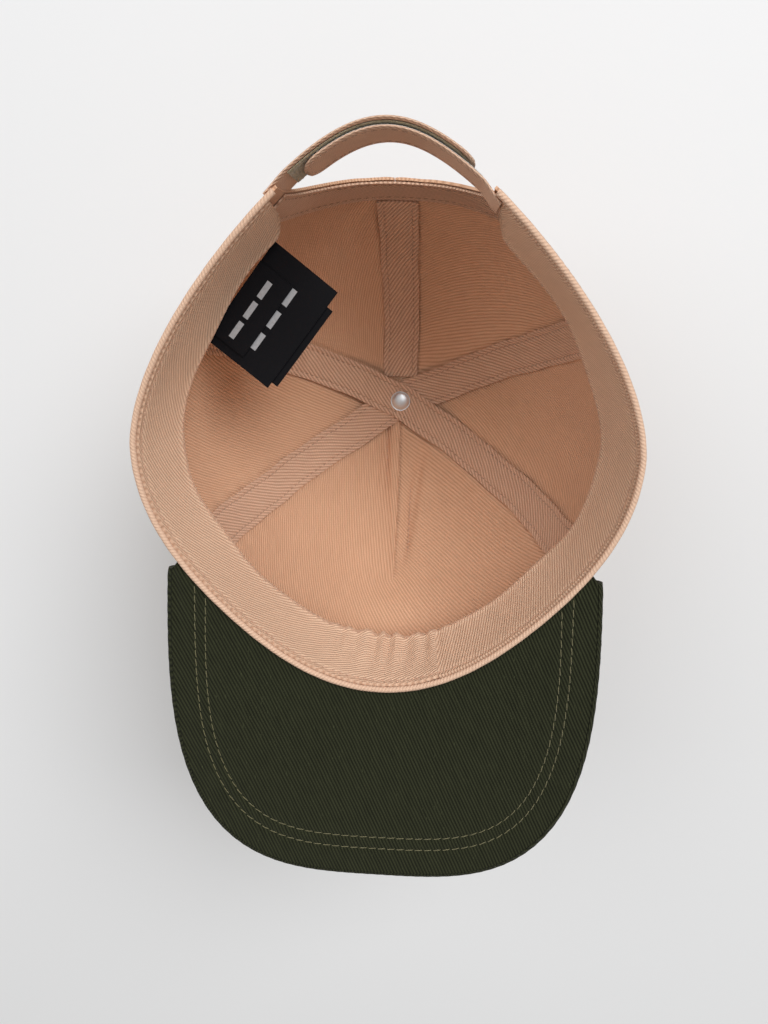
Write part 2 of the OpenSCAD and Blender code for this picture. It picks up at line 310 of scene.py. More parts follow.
# %% [markdown]
# ## Thread
# Topstitching is what makes a cap look sewn. Painting stitches into a texture is quick, but they stay
# flat. Here each stitch is a small solid: a six-sided thread whose two ends dive into the cloth. One
# template is copied along a path by array arithmetic, so a seam of hundreds is still one light mesh.


# %% Stitches along a path
def resample(path, normals, spacing):
    """Evenly spaced points and directions along a line of points."""
    run = np.concatenate([[0], np.cumsum(np.linalg.norm(np.diff(path, axis=0), axis=1))])
    count = max(2, int(run[-1] / spacing))
    want = np.linspace(0, run[-1], count + 1)
    spread = np.stack([np.interp(want, run, column) for column in np.hstack([path, normals]).T], 1)
    return spread[:, :3], unit(spread[:, 3:])


THREAD_SIDES = 6
# Along the stitch, the thread's radius there and how far it is lifted, as shares.
STITCH_X = np.array([-0.5, -0.38, 0.0, 0.38, 0.5])
STITCH_R = np.array([0.45, 0.95, 1.0, 0.95, 0.45])
STITCH_UP = np.array([-0.9, 0.1, 0.35, 0.1, -0.9])


def stitches(name, seams, material, body, slot, length=2.4, gap=0.7, radius=0.24, slant=0.0):
    """Stitches along several seams. A seam is a line of points and the directions that face out of the
    cloth. slant turns every stitch a little across the line, as a lockstitch lies."""
    turns = np.radians(360 / THREAD_SIDES * np.arange(THREAD_SIDES))
    points = []
    for path, normals in seams:
        place, up = resample(path, normals, length + gap)
        start, stop = place[:-1], place[1:]
        along = unit(stop - start)
        up = unit(up[:-1] + up[1:])
        side = unit(np.cross(up, along))
        along = unit(along + slant * side)
        side = unit(np.cross(up, along))
        middle = (start + stop) / 2
        reach = np.linalg.norm(stop - start, axis=1) * length / (length + gap)
        x = reach[:, None, None] * STITCH_X[None, :, None]
        r = radius * STITCH_R[None, :, None]
        lift = radius * STITCH_UP[None, :, None] + r * np.sin(turns)[None, None]
        wide = r * np.cos(turns)[None, None] + 0 * x
        points.append(copy_points(middle, (along, side, up), (x, wide, lift + 0 * x)))
    points = np.concatenate(points)
    ends = [[0, 3, 2, 1], [0, 5, 4, 3], [24, 25, 26, 27], [24, 27, 28, 29]]
    one = np.concatenate([ring_faces(len(STITCH_X), THREAD_SIDES), ends])
    faces = repeat_faces(one, len(STITCH_X) * THREAD_SIDES, len(points))
    print("  stitches:", len(points))
    put_mesh(name, points.reshape(-1, 3), faces, material, body, slot)


# %% [markdown]
# ## Cloth finishes
# Twill shows diagonal wales, each made of short floats of yarn. Both come from the `cloth` UV map with a
# few Math nodes, so the ribs keep their real pitch on every piece. A second group gives the soft uneven
# dye and a third the small loose fibres. The groups hold only patterns. Each material keeps its own
# Principled shader, with the pattern on its colour, its roughness and its bump.


# %% Node helpers
def add(tree, kind, **values):
    """A node with properties set by name and inputs set by position, as in i0=0.5."""
    node = tree.nodes.new(kind)
    for key, value in values.items():
        if key[0] == "i" and key[1:].isdigit():
            node.inputs[int(key[1:])].default_value = value
        else:
            setattr(node, key, value)
    return node


def feed(tree, socket, value):
    """Links another socket to an input, or sets the input to a plain value."""
    if isinstance(value, bpy.types.NodeSocket):
        tree.links.new(value, socket)
    elif value is not None:
        socket.default_value = value


def math_node(tree, operation, a, b=None, c=None, clamp=False):
    """A Math node. Each of a, b and c is a socket or a number."""
    node = add(tree, "ShaderNodeMath", operation=operation, use_clamp=clamp)
    for place, value in enumerate((a, b, c)):
        feed(tree, node.inputs[place], value)
    return node.outputs[0]


def noise_at(tree, place, scale, detail):
    """The value of a noise texture at a place."""
    noise = add(tree, "ShaderNodeTexNoise", i3=detail)
    feed(tree, noise.inputs["Vector"], place)
    feed(tree, noise.inputs["Scale"], scale)
    return noise.outputs[0]


def object_place(tree):
    return add(tree, "ShaderNodeTexCoord").outputs["Object"]


def cloth_place(tree):
    return add(tree, "ShaderNodeUVMap", uv_map="cloth").outputs[0]


def camera_ray(tree):
    return add(tree, "ShaderNodeLightPath").outputs["Is Camera Ray"]


def split(tree, vector):
    """The parts of a vector."""
    parts = add(tree, "ShaderNodeSeparateXYZ")
    tree.links.new(vector, parts.inputs[0])
    return parts.outputs


def times(tree, a, b):
    return math_node(tree, "MULTIPLY", a, b)


def scaled(tree, value, factor, offset, clamp=False):
    """A value times a factor, plus an offset."""
    return math_node(tree, "MULTIPLY_ADD", value, factor, offset, clamp)


def sine_of(tree, turns):
    """The sine of a number of whole turns."""
    return math_node(tree, "SINE", times(tree, turns, 2 * math.pi))


def new_group(name, inputs, outputs):
    """A node group with named sockets. inputs maps a name to (kind, default)."""
    tree = bpy.data.node_groups.new(name, "ShaderNodeTree")
    for title, (kind, value) in inputs.items():
        socket = tree.interface.new_socket(title, in_out="INPUT", socket_type="NodeSocket" + kind)
        if value is not None:
            socket.default_value = value
    for title, kind in outputs.items():
        tree.interface.new_socket(title, in_out="OUTPUT", socket_type="NodeSocket" + kind)
    return tree, tree.nodes.new("NodeGroupInput"), tree.nodes.new("NodeGroupOutput")


# %% The twill group
def twill_group():
    """Wales are a wave across the cloth, bent a little by noise. Floats are a shorter wave along each
    wale, shifted from one wale to the next. Slubs are noise stretched along the wales."""
    tree, given, result = new_group(
        "Twill",
        {"Cloth": ("Vector", None), "Pitch": ("Float", 0.00135), "Slub": ("Float", 0.5)},
        {"Height": "Float", "Shade": "Float"},
    )
    across, along = split(tree, given.outputs["Cloth"])[:2]
    wander = noise_at(tree, given.outputs["Cloth"], 130.0, 1.0)
    count = math_node(tree, "DIVIDE", across, given.outputs["Pitch"])
    count = math_node(tree, "ADD", count, times(tree, wander, 0.35))
    wale = math_node(tree, "POWER", scaled(tree, sine_of(tree, count), 0.5, 0.5), 0.7)
    which = math_node(tree, "FLOOR", math_node(tree, "ADD", count, 0.25))
    step = math_node(tree, "DIVIDE", along, given.outputs["Pitch"])
    step = scaled(tree, which, 0.37, times(tree, step, 1.15))
    floats = scaled(tree, sine_of(tree, step), 0.11, 0.89)
    height = times(tree, wale, floats)
    tree.links.new(height, result.inputs["Height"])
    stretched = add(tree, "ShaderNodeCombineXYZ")
    for place, (part, stretch) in enumerate(((across, 900.0), (along, 110.0))):
        tree.links.new(times(tree, part, stretch), stretched.inputs[place])
    uneven = math_node(tree, "SUBTRACT", noise_at(tree, stretched.outputs[0], 1.0, 2.0), 0.5)
    uneven = times(tree, uneven, given.outputs["Slub"])
    shade = math_node(tree, "ADD", height, uneven, clamp=True)
    tree.links.new(shade, result.inputs["Shade"])
    return tree


def dye_group():
    """Soft uneven colour over the whole cap, from Object coordinates, about 0.5 with a named spread."""
    tree, given, result = new_group(
        "Uneven dye",
        {"Place": ("Vector", None), "Size": ("Float", 30.0), "Spread": ("Float", 0.3)},
        {"Tone": "Float"},
    )
    big = noise_at(tree, given.outputs["Place"], given.outputs["Size"], 3.0)
    tone = math_node(tree, "SUBTRACT", big, 0.5)
    tone = scaled(tree, tone, given.outputs["Spread"], 0.5)
    tree.links.new(tone, result.inputs["Tone"])
    return tree


def lint_group():
    """A mask of sparse pale fibres: thin streaks of stretched noise above a high threshold."""
    tree, given, result = new_group("Lint", {"Place": ("Vector", None)}, {"Mask": "Float"})
    turned = add(tree, "ShaderNodeMapping")
    turned.inputs["Rotation"].default_value = (0.4, 0.9, 0.7)
    turned.inputs["Scale"].default_value = (2200.0, 300.0, 2200.0)
    tree.links.new(given.outputs["Place"], turned.inputs[0])
    fibres = noise_at(tree, turned.outputs[0], 1.0, 1.0)
    mask = scaled(tree, fibres, 12.0, -8.6, clamp=True)
    tree.links.new(mask, result.inputs["Mask"])
    return tree


TWILL, DYE, LINT = twill_group(), dye_group(), lint_group()


def use_group(tree, group, values):
    node = tree.nodes.new("ShaderNodeGroup")
    node.node_tree = group
    for title, value in values.items():
        feed(tree, node.inputs[title], value)
    return node


def blend_colours(tree, share, a, b, mode="MIX"):
    """A colour mix. share, a and b are sockets or values."""
    node = add(tree, "ShaderNodeMix", data_type="RGBA", blend_type=mode)
    feed(tree, node.inputs[0], share)
    for place, value in ((6, a), (7, b)):
        feed(tree, node.inputs[place], (*value, 1.0) if isinstance(value, tuple) else value)
    return node.outputs[2]


def new_material(name, roughness, **values):
    """An empty Principled material. values are set on the shader's own sockets."""
    material = bpy.data.materials.new(name)
    material.use_nodes = True
    tree = material.node_tree
    shader = tree.nodes["Principled BSDF"]
    shader.inputs["Roughness"].default_value = roughness
    for title, value in values.items():
        shader.inputs[title.replace("_", " ")].default_value = value
    return material, tree, shader


def dress(tree, shader, colour, height, depth, rough=None):
    """Links a colour, a roughness and a bump of a depth in mm to a shader."""
    feed(tree, shader.inputs["Base Color"], colour)
    feed(tree, shader.inputs["Roughness"], rough)
    bump = add(tree, "ShaderNodeBump")
    for title, value in (("Strength", 1.0), ("Distance", depth * MM), ("Height", height)):
        feed(tree, bump.inputs[title], value)
    tree.links.new(bump.outputs[0], shader.inputs["Normal"])


# %% Twill cloth
CLOTH_GLOSS = 0.12


def twill_cloth(name, ridge, valley, pitch, relief, slub=0.5, lint=0.0):
    """Twill in two tones: ridge is the colour of the wales and valley the colour between them."""
    material, tree, shader = new_material(
        name, 0.9, Sheen_Weight=0.05, Sheen_Roughness=0.5, Specular_IOR_Level=CLOTH_GLOSS
    )
    place = object_place(tree)
    twill = use_group(tree, TWILL, {"Cloth": cloth_place(tree), "Pitch": pitch * MM, "Slub": slub})
    dye = use_group(tree, DYE, {"Place": place, "Size": 28.0, "Spread": 0.5})
    colour = blend_colours(tree, twill.outputs["Shade"], valley, ridge)
    tone = blend_colours(tree, dye.outputs["Tone"], (0.86, 0.84, 0.82), (1.1, 1.1, 1.1))
    colour = blend_colours(tree, 1.0, colour, tone, "MULTIPLY")
    if lint:
        fibres = use_group(tree, LINT, {"Place": place})
        share = times(tree, fibres.outputs["Mask"], lint)
        pale = tuple(3.5 * min(1.0, c * 1.12) for c in ridge)
        colour = blend_colours(tree, share, colour, pale)
    rough = scaled(tree, twill.outputs["Shade"], -0.12, 0.95)
    dress(tree, shader, colour, twill.outputs["Height"], relief, rough)
    return material


PANEL_CLOTH = twill_cloth("crown_twill", (0.80, 0.505, 0.335), (0.60, 0.345, 0.215), 1.25, 0.26)
BAND_CLOTH = twill_cloth("band_twill", (0.87, 0.63, 0.46), (0.64, 0.41, 0.28), 1.20, 0.30)
RIM_CLOTH = twill_cloth("rim_twill", (0.79, 0.55, 0.405), (0.69, 0.455, 0.325), 1.10, 0.14)
TAPE_CLOTH = twill_cloth("seam_tape", (0.81, 0.545, 0.395), (0.52, 0.315, 0.215), 1.45, 0.38)
STRAP_CLOTH = twill_cloth("strap_twill", (0.86, 0.61, 0.45), (0.62, 0.39, 0.275), 1.25, 0.30)
VISOR_CLOTH = twill_cloth(
    "visor_twill", (0.036, 0.040, 0.019), (0.0085, 0.0098, 0.0045), 1.15, 0.30, slub=0.7, lint=0.25
)


# %% Thread, metal and plastics
def thread(name, colour, dark):
    """Twisted thread: fine slanting waves on Object coordinates for both colour and bump."""
    material, tree, shader = new_material(name, 0.6, Sheen_Weight=0.3)
    wave = add(tree, "ShaderNodeTexWave", wave_type="BANDS", bands_direction="DIAGONAL")
    for title, value in (("Vector", object_place(tree)), ("Scale", 900.0), ("Distortion", 1.5)):
        feed(tree, wave.inputs[title], value)
    twist = wave.outputs["Fac"]
    dress(tree, shader, blend_colours(tree, twist, dark, colour), twist, 0.08)
    return material


PEACH_THREAD = thread("peach_thread", (0.70, 0.43, 0.30), (0.50, 0.29, 0.19))
# A darker copy of the peach thread for the stitches inside the crown: painted shade for the stitch holes.
PAINTED_SHADE_THREAD = thread("peach_thread_painted_shade", (0.52, 0.30, 0.19), (0.30, 0.16, 0.10))
KHAKI_THREAD = thread("khaki_thread", (0.20, 0.18, 0.08), (0.11, 0.10, 0.045))


def brushed_metal(name, colour, roughness, grain):
    """Plated metal: fine noise on roughness and bump, and a faint stain in the colour."""
    material, tree, shader = new_material(name, roughness, Metallic=1.0)
    place = object_place(tree)
    fine, wide = noise_at(tree, place, grain, 4.0), noise_at(tree, place, 260.0, 2.0)
    stained = blend_colours(tree, wide, tuple(0.8 * c for c in colour), colour)
    dress(tree, shader, stained, fine, 0.02, scaled(tree, fine, 0.25, roughness - 0.1))
    return material


def moulded(name, colour, roughness, grain, depth, **values):
    """Moulded plastic: a fine grain on roughness and bump, and a slight uneven tone."""
    material, tree, shader = new_material(name, roughness, **values)
    place = object_place(tree)
    fine = noise_at(tree, place, grain, 3.0)
    dye = use_group(tree, DYE, {"Place": place, "Size": 60.0, "Spread": 0.5})
    uneven = blend_colours(tree, dye.outputs["Tone"], tuple(0.88 * c for c in colour), colour)
    dress(tree, shader, uneven, fine, depth, scaled(tree, fine, 0.2, roughness - 0.1))
    return material


def napped(name, colour, dark):
    """Brushed loops: two sizes of noise make tufts, with a strong sheen."""
    material, tree, shader = new_material(name, 0.95, Sheen_Weight=0.6, Sheen_Roughness=0.4)
    place = object_place(tree)
    tuft, curl = noise_at(tree, place, 900.0, 4.0), noise_at(tree, place, 2600.0, 3.0)
    height = scaled(tree, curl, 0.5, tuft)
    share = scaled(tree, height, 1.6, -0.7, clamp=True)
    dress(tree, shader, blend_colours(tree, share, dark, colour), height, 0.5)
    return material


WEFT_PITCH = 0.0004


def satin(name, colour, dark):
    """Woven satin: very fine weft lines on the cloth map, and a soft gloss."""
    material, tree, shader = new_material(name, 0.5, Specular_IOR_Level=CLOTH_GLOSS)
    cloth = cloth_place(tree)
    weft = times(tree, split(tree, cloth)[0], 2 * math.pi / WEFT_PITCH)
    lines = scaled(tree, math_node(tree, "SINE", weft), 0.5, 0.5)
    uneven = noise_at(tree, cloth, 900.0, 2.0)
    share = times(tree, lines, uneven)
    rough = scaled(tree, uneven, 0.2, 0.42)
    dress(tree, shader, blend_colours(tree, share, dark, colour), lines, 0.03, rough)
    return material


RIVET_METAL = brushed_metal("rivet_metal", (0.86, 0.89, 0.92), 0.42, 2400.0)
VISOR_PLASTIC = moulded("visor_plastic", (0.82, 0.83, 0.82), 0.45, 900.0, 0.05)
HOOK_NYLON = moulded("hook_nylon", (0.86, 0.87, 0.83), 0.35, 1500.0, 0.03, Transmission_Weight=0.25)
LOOP_PILE = napped("loop_pile", (0.56, 0.48, 0.31), (0.27, 0.225, 0.13))
LABEL_SATIN = satin("label_satin", (0.006, 0.005, 0.008), (0.002, 0.002, 0.003))
MARK_SATIN = satin("label_marks", (0.58, 0.58, 0.60), (0.30, 0.30, 0.31))
print("materials:", len(bpy.data.materials), "groups:", len(bpy.data.node_groups))

# %% [markdown]
# ## The five crown panels
# Each panel is one cut of twill. Beside a seam its outside dips into the join and swells over the turned
# edge beneath, and a row of topstitching 6 mm away draws it down again. The front panel has a dart: a
# wedge of cloth is folded away from the top down to a tip, which makes the flat cloth cup. The wales
# meet at an angle along it, so its flat map is worked out as a cone round the tip.

# %% The lean of the wales on each piece, in degrees
WALES = {
    "front_panel": 25.0,
    "side_panel_left": -26.0,
    "side_panel_right": -35.0,
    "rear_panel_left": -35.0,
    "rear_panel_right": -35.0,
    "tape": -31.0,
    "arch_binding": -58.0,
    "rim_binding": 35.0,
    "sweatband": (-61.0, -11.0),
    "button": 30.0,
    "visor": 26.0,
    "strap": 55.0,
}

# %% Panel sizes and the arch that is cut into the rear ones
SEAM_GAP = 0.1
STITCH_IN = 6.0
DART_TIP = 37.5
DART_TURN = 17.5
PANEL_ROWS = 112
FLAT_STEPS = 174
ARCH_HALF = 34.0
ARCH_H = 53.0
BINDING_W = 13.0
ARCH_AT = 180 - ARCH_HALF
ARCH_TURN = float(turn_at(180.0, ARCH_H - REAR_DROP))
BINDING_TURN = float(turn_at(180.0, ARCH_H + BINDING_W - REAR_DROP)) - ARCH_TURN
BINDING_ROUND = BINDING_W / HALF_WIDTH * 57.3 * 1.1


def arch_edge(s, wider=0.0, higher=0.0):
    """The arch's edge: s runs from 0 at the rim on the wearer's left to 180 on the right."""
    c = cos_of(s)
    turn = 180 - (ARCH_HALF + wider) * np.sign(c) * np.abs(c) ** 0.9
    return turn, (ARCH_TURN + higher) * sin_of(s) ** 0.95


arch_t, arch_p = arch_edge(np.linspace(0, 90, 400))


def panel_grid(columns):
    """Angles of a panel's grid. Each column starts at the rim, or at the arch's edge over the arch."""
    t = np.sort(columns)
    start = np.where(np.abs(t) > ARCH_AT, np.interp(np.abs(t), arch_t, arch_p), 0.0)
    share = np.linspace(0, 1, PANEL_ROWS)[:, None]
    return np.broadcast_to(t, (PANEL_ROWS, len(t))), start + (TOP_TURN - start) * share


# %% Panel relief and cloth
def seam_shape(from_seam):
    """Relief of the outside near a seam, in mm: a dip at the seam, a swell, and a groove at the stitches."""
    d = np.abs(from_seam)
    return -0.75 * bell(d, 1.1) + 0.22 * bell(d - 3.2, 2.0) - 0.22 * bell(d - STITCH_IN, 0.8)


def round_way(t, p):
    """Length round the cap of one degree, at each point, in mm."""
    return np.linalg.norm(crown(t + 0.5, p) - crown(t - 0.5, p), axis=-1)


def puckers(t, p, seams):
    """Short wrinkles that stand across a seam, 8 to 15 mm from it: a wave along the seam inside a bell."""
    total = 0
    for seam in seams:
        d = (t - seam) * round_way(t, p)
        along = p * 1.9 + 8 * np.sin(np.radians(5 * p + seam))
        total = total + 0.16 * bell(np.abs(d) - 10, 4.5) * np.sin(along)
    return total * smooth((p - 8) / 12) * smooth((84 - p) / 10)


def panel_cloth(t, p, lean):
    """Where each point of a panel lies on the flat cloth. Lengths are measured on a full grid that starts
    at the rim, so that an edge cut into the panel doesn't bend the wales."""
    plain = lay_flat(crown(t[:1], np.linspace(0, TOP_TURN, FLAT_STEPS + 1)[:, None]), lean)
    row = np.clip(p / TOP_TURN, 0, 1) * FLAT_STEPS
    low = np.minimum(row.astype(int), FLAT_STEPS - 1)
    column = np.arange(t.shape[1])[None] + 0 * low
    share = (row - low)[..., None]
    return plain[low, column] * (1 - share) + plain[low + 1, column] * share


def crown_panel(node, t, p, seams, cloth, inner_extra=0.0, bend=0.0):
    """The outside dips at the seams. The inside has a crease along both edges of the tapes, where their
    stitches draw the cloth in, and swells a little beyond it."""
    from_seam = np.min([np.abs(t - s) * round_way(t, p) for s in seams], axis=0)
    fold = puckers(t, p, seams) - bend
    start = smooth((p - p[:1]) / 5)
    outer = on_crown(t, p, seam_shape(from_seam) * (0.25 + 0.75 * start) + fold)
    crease = 0.55 * bell(from_seam - 8.4, 0.7) - 0.18 * bell(from_seam - 11.5, 2.4)
    inner = on_crown(t, p, -CLOTH + crease * start + fold - inner_extra)
    sewn(node, (outer, inner), PANEL_CLOTH, "crown_twill", cloth)


# %% Front panel with its dart
def dart_fold(t, p):
    """Two depths towards the head, in mm. The first is only the inner face's: the flap of the dart, pressed
    to the wearer's left and tapering to the tip, and the groove of its seam. The second bends the whole
    cloth: a soft crease on each side of the flap and a dimple below the tip."""
    x = t * round_way(t, p)
    above = np.clip((p - DART_TIP) / (TOP_TURN - DART_TIP), 0, 1)
    width = 6.5 * above**0.7
    flap = 0.95 * smooth(above * 10) * (t > 0) * smooth((width - x) / 2.2 + 0.5)
    groove = -0.7 * bell(x + 0.3, 0.7) * smooth((p - DART_TIP) / 3)
    creases = -2.1 * bell(x + 8 + 12 * (above - 0.5), 2.6) * smooth(above * 4) * smooth((0.85 - above) * 4)
    creases = creases - 1.7 * bell(x - 9 + 2 * above, 2.2) * smooth(above * 3 - 0.9)
    dimple = 1.3 * bell(x, 11) * bell(p - DART_TIP + 7, 6) - 1.1 * bell(x, 26) * bell(p - 23, 4.5)
    return flap + groove, creases + dimple


def front_panel():
    """The flat cloth is a cone round the dart's tip, so its turn is less than the turn it is sewn to."""
    half = np.concatenate([[0.02, 0.35, 0.7], np.linspace(1.3, FRONT_SEAM - SEAM_GAP, 66)])
    middle = len(half)
    t, p = panel_grid(np.concatenate([-half, half]))
    plain = crown(t, p)
    across = lengths(plain, 1)
    across = across - across[:, middle - 1 : middle + 1].sum(1)[:, None] / 2
    up = lengths(plain, 0)
    tip = np.interp(DART_TIP, p[:, middle], up[:, middle])
    reach = np.hypot(across, up - tip)
    turn = np.arctan2(across, tip - up) * (1 - DART_TURN / 180)
    cloth = lean_cloth(reach * np.sin(turn), -reach * np.cos(turn), WALES["front_panel"])
    crown_panel("front_panel", t, p, (-FRONT_SEAM, FRONT_SEAM), cloth, *dart_fold(t, p))


front_panel()


# %% Side and rear panels
side_columns = np.linspace(FRONT_SEAM + SEAM_GAP, REAR_SEAM - SEAM_GAP, 62)
rear_columns = np.linspace(REAR_SEAM + SEAM_GAP, ARCH_AT, 34)[:-1]
arch_columns = arch_edge(np.linspace(0, 90, 48))[0]
arch_columns[-1] = 180 - SEAM_GAP
rear_columns = np.concatenate([rear_columns, arch_columns])
for side, sign in (("left", 1), ("right", -1)):
    for part, columns, seams in (
        ("side", side_columns, (FRONT_SEAM, REAR_SEAM)),
        ("rear", rear_columns, (REAR_SEAM, 180)),
    ):
        node = f"{part}_panel_{side}"
        t, p = panel_grid(sign * columns)
        crown_panel(node, t, p, sign * np.array(seams), panel_cloth(t, p, WALES[node]))

# %% [markdown]
# ## Seam tapes and bindings
# A flat tape covers each seam inside the crown. The four diagonal arms are two continuous strips that
# cross at the top, and a fifth runs down the middle of the back. A tape is cut on the bias, so its ribs
# cross it at about 30 degrees. It puffs up a little between its two rows of stitches.

# %% Tapes
TAPE_W = 16.0
TAPE_T = 0.7
TAPE_DEPTH = -(CLOTH + GAP)
CROSS_FLAT = 90 - math.degrees(math.asin(1.15 * TAPE_W / HALF_WIDTH))
CROSS_RAMP = CROSS_FLAT - 12
STITCH_EDGE = 2.4
TAPE_STEPS = 40
PUFF = 0.1
tape_seams = []


def edge_drop(t, p):
    """How far the crown falls away half a tape's width to either side of a point."""
    q = np.minimum(p, 70)
    middle = crown(t, q)
    turn = TAPE_W / np.linalg.norm(crown(t + 1, q) - crown(t - 1, q), axis=-1)
    fall = middle - (crown(t + turn, q) + crown(t - turn, q)) / 2
    return (fall * crown_normal(t, q)).sum(-1)


def tape_puff(a):
    """Relief of a tape across itself, in mm: drawn down at the stitches, soft between, thick at the fold."""
    stitch = 1 - 2 * STITCH_EDGE / TAPE_W
    return 0.24 - 0.42 * bell(np.abs(a) - stitch, 0.08) - 0.2 * bell(np.abs(a) - 1, 0.06)


def tape(node, t, p, depth):
    """A tape along a path of turns. Each point of the path is spread across by the tape's width, and
    bent across itself to lie on the crown."""
    middle = crown(t, p)
    up = crown_normal(t, p)
    side = unit(np.cross(np.gradient(middle, axis=0), up))
    across = np.linspace(-1, 1, TAPE_STEPS + 1)
    drop = edge_drop(t, p)[:, None] * across[None] ** 2
    bend = (sway(t, p) * smooth((CROSS_FLAT - p) / 20))[:, None]
    run = lengths(middle[:, None], 0)
    wobble = 0.25 * np.sin(run / 9.0) + 0.18 * np.sin(run / 4.1 + 1.0)
    spread = (across[None] * TAPE_W / 2 + wobble)[..., None] * side[:, None]
    outer = middle[:, None] + spread + (depth[:, None] - drop + bend)[..., None] * up[:, None]
    puff = tape_puff(across)[None] * (1 + 0.35 * np.sin(run * 1.9)) + 0 * drop
    inner = outer - (TAPE_T + puff - PUFF)[..., None] * up[:, None]
    cloth = lean_cloth(across[None] * TAPE_W / 2 + 0 * run, run + 0 * drop, WALES["tape"])
    *grids, cloth = [g.transpose(1, 0, 2)[::-1] for g in (outer, inner, cloth)]
    sewn(node, grids, TAPE_CLOTH, "seam_tape", cloth)
    column = int(round(STITCH_EDGE / TAPE_W * TAPE_STEPS))
    for k in (column, TAPE_STEPS - column):
        tape_seams.append((inner[2:-2, k], -up[2:-2]))


def cross_tape(node, rear, front, layer):
    """A tape up one seam and down the opposite one, which rises onto its layer near the top."""
    rise = np.linspace(6.5, 90, 110)
    t = np.repeat([rear, front], [110, 109])
    p = np.concatenate([rise, rise[-2::-1]])
    lift = layer * (TAPE_T + GAP)
    depth = TAPE_DEPTH - lift * smooth((p - CROSS_RAMP) / (CROSS_FLAT - CROSS_RAMP))
    tape(node, t, p, depth)


cross_tape("lower_cross_tape", -REAR_SEAM, FRONT_SEAM, 1)
cross_tape("upper_cross_tape", REAR_SEAM, -FRONT_SEAM, 2)
rear_p = np.linspace(ARCH_TURN + BINDING_TURN + 0.6, 83, 70)
tape("rear_centre_tape", np.full(70, 180.0), rear_p, np.full(70, TAPE_DEPTH))
# The tape stitches take the darker thread, which paints shade into them.
stitches("tape_stitches", tape_seams, PAINTED_SHADE_THREAD, "cap", "seam_tape", 1.9, 0.9, 0.2, 0.12)


# %% Bindings round the arch and the rim
def arch_binding():
    """The tape inside the arch: a strip between the arch's edge and a larger arch, puffed like a tape."""
    s = np.linspace(16, 164, 150)[None]
    w = np.linspace(0, 1, 15)[:, None]
    inner_t, inner_p = arch_edge(s, 0.4, 0.3)
    outer_t, outer_p = arch_edge(s, BINDING_ROUND, BINDING_TURN)
    t = inner_t * (1 - w) + outer_t * w
    p = inner_p * (1 - w) + outer_p * w
    outer = on_crown(t, p, np.full(t.shape, TAPE_DEPTH))
    edge = 0.16 - 0.28 * bell(w - 0.16, 0.07) - 0.28 * bell(w - 0.86, 0.07)
    relief = edge * (1 + 0.3 * np.sin(s * 1.3)) + 0 * t
    inner = on_crown(t, p, TAPE_DEPTH - TAPE_T + PUFF - relief)
    along = lengths(outer, 1)
    cloth = lean_cloth(BINDING_W * w + 0 * along, along, WALES["arch_binding"])
    sewn("arch_binding", (outer, inner), TAPE_CLOTH, "seam_tape", cloth)
    rows = [(inner[k, 3:-3], -crown_normal(t[k, 3:-3], p[k, 3:-3])) for k in (2, 12)]
    # The darker thread paints shade into these stitches.
    stitches("arch_stitches", rows, PAINTED_SHADE_THREAD, "cap", "seam_tape", 2.0, 0.8, 0.2, 0.1)


arch_binding()
RIM_ROLL = 2.2
RIM_SIDES = 12


def rim_binding():
    """The rolled edge: a round section carried along the rim, a little uneven."""
    t = np.linspace(-ARCH_AT + 1, ARCH_AT - 1, 420)
    out = level_out(t)
    run = lengths(rim_point(t)[:, None], 0)
    turns = np.radians(360 / RIM_SIDES * np.arange(RIM_SIDES))[None]
    rib = 1 + 0.02 * np.sin(run * 2 * np.pi / 11 + turns)
    r = RIM_ROLL / 2 * rib
    middle = rim_point(t) - out * (CLOTH + 0.2) + [0, 0, -RIM_ROLL / 2 - 0.2]
    rings = middle[:, None] + (r * np.cos(turns))[..., None] * out[:, None] + upright(r * np.sin(turns))
    cloth = lean_cloth(run + 0 * turns, RIM_ROLL / 2 * turns + 0 * run, WALES["rim_binding"])
    tube("rim_binding_cloth", rings, RIM_CLOTH, cloth, "band_twill", "rim_binding")


rim_binding()

# %% [markdown]
# ## The sweatband
# The band is a strip of twill sewn along the rim and loose at its top edge, which leans in towards the
# head. Its cloth gathers a little at the middle of the front, where it was eased into the seam. There it
# is also joined, and the wales change direction at the join.

# %% Sweatband
BAND_H = 33.0
BAND_LEAN = 4.2
BAND_T = 1.0
BAND_DEPTH = -(CLOTH + GAP + 0.1)
BAND_JOIN = -15.0


def band_turn(t, v):
    return turn_at(t, rim_z(t) + 1 + (BAND_H - 1) * v)


def band_point(t, v, extra):
    """A point on the band, v of the way from the rim to its loose edge."""
    p = band_turn(t, v)
    return crown(t, p) + (BAND_DEPTH - BAND_LEAN * v - extra)[..., None] * crown_normal(t, p)


def band_relief(t, v):
    """Relief towards the head, in mm: long waves in the loose edge, gathers at the front, and the draw
    of the stitches near the rim."""
    waves = 0.55 * np.sin(np.radians(t * 7 + 40)) + 0.4 * np.sin(np.radians(t * 13 - 25 + 60 * v))
    gathers = 1.0 * np.sin(t * 1.25 + 0.9 * np.sin(t * 0.45)) * bell(t, 16) * smooth(v * 1.6 - 0.2)
    pulls = 0.12 * np.sin(t * 2.6 + 4 * v) * bell(v - 0.14, 0.12)
    draw = -0.35 * bell(v - 0.07, 0.03)
    join = 0.35 * smooth((t - BAND_JOIN) / 0.4 + 1) * bell(t - BAND_JOIN, 3.5)
    return waves * v**1.3 + gathers + pulls + draw + join


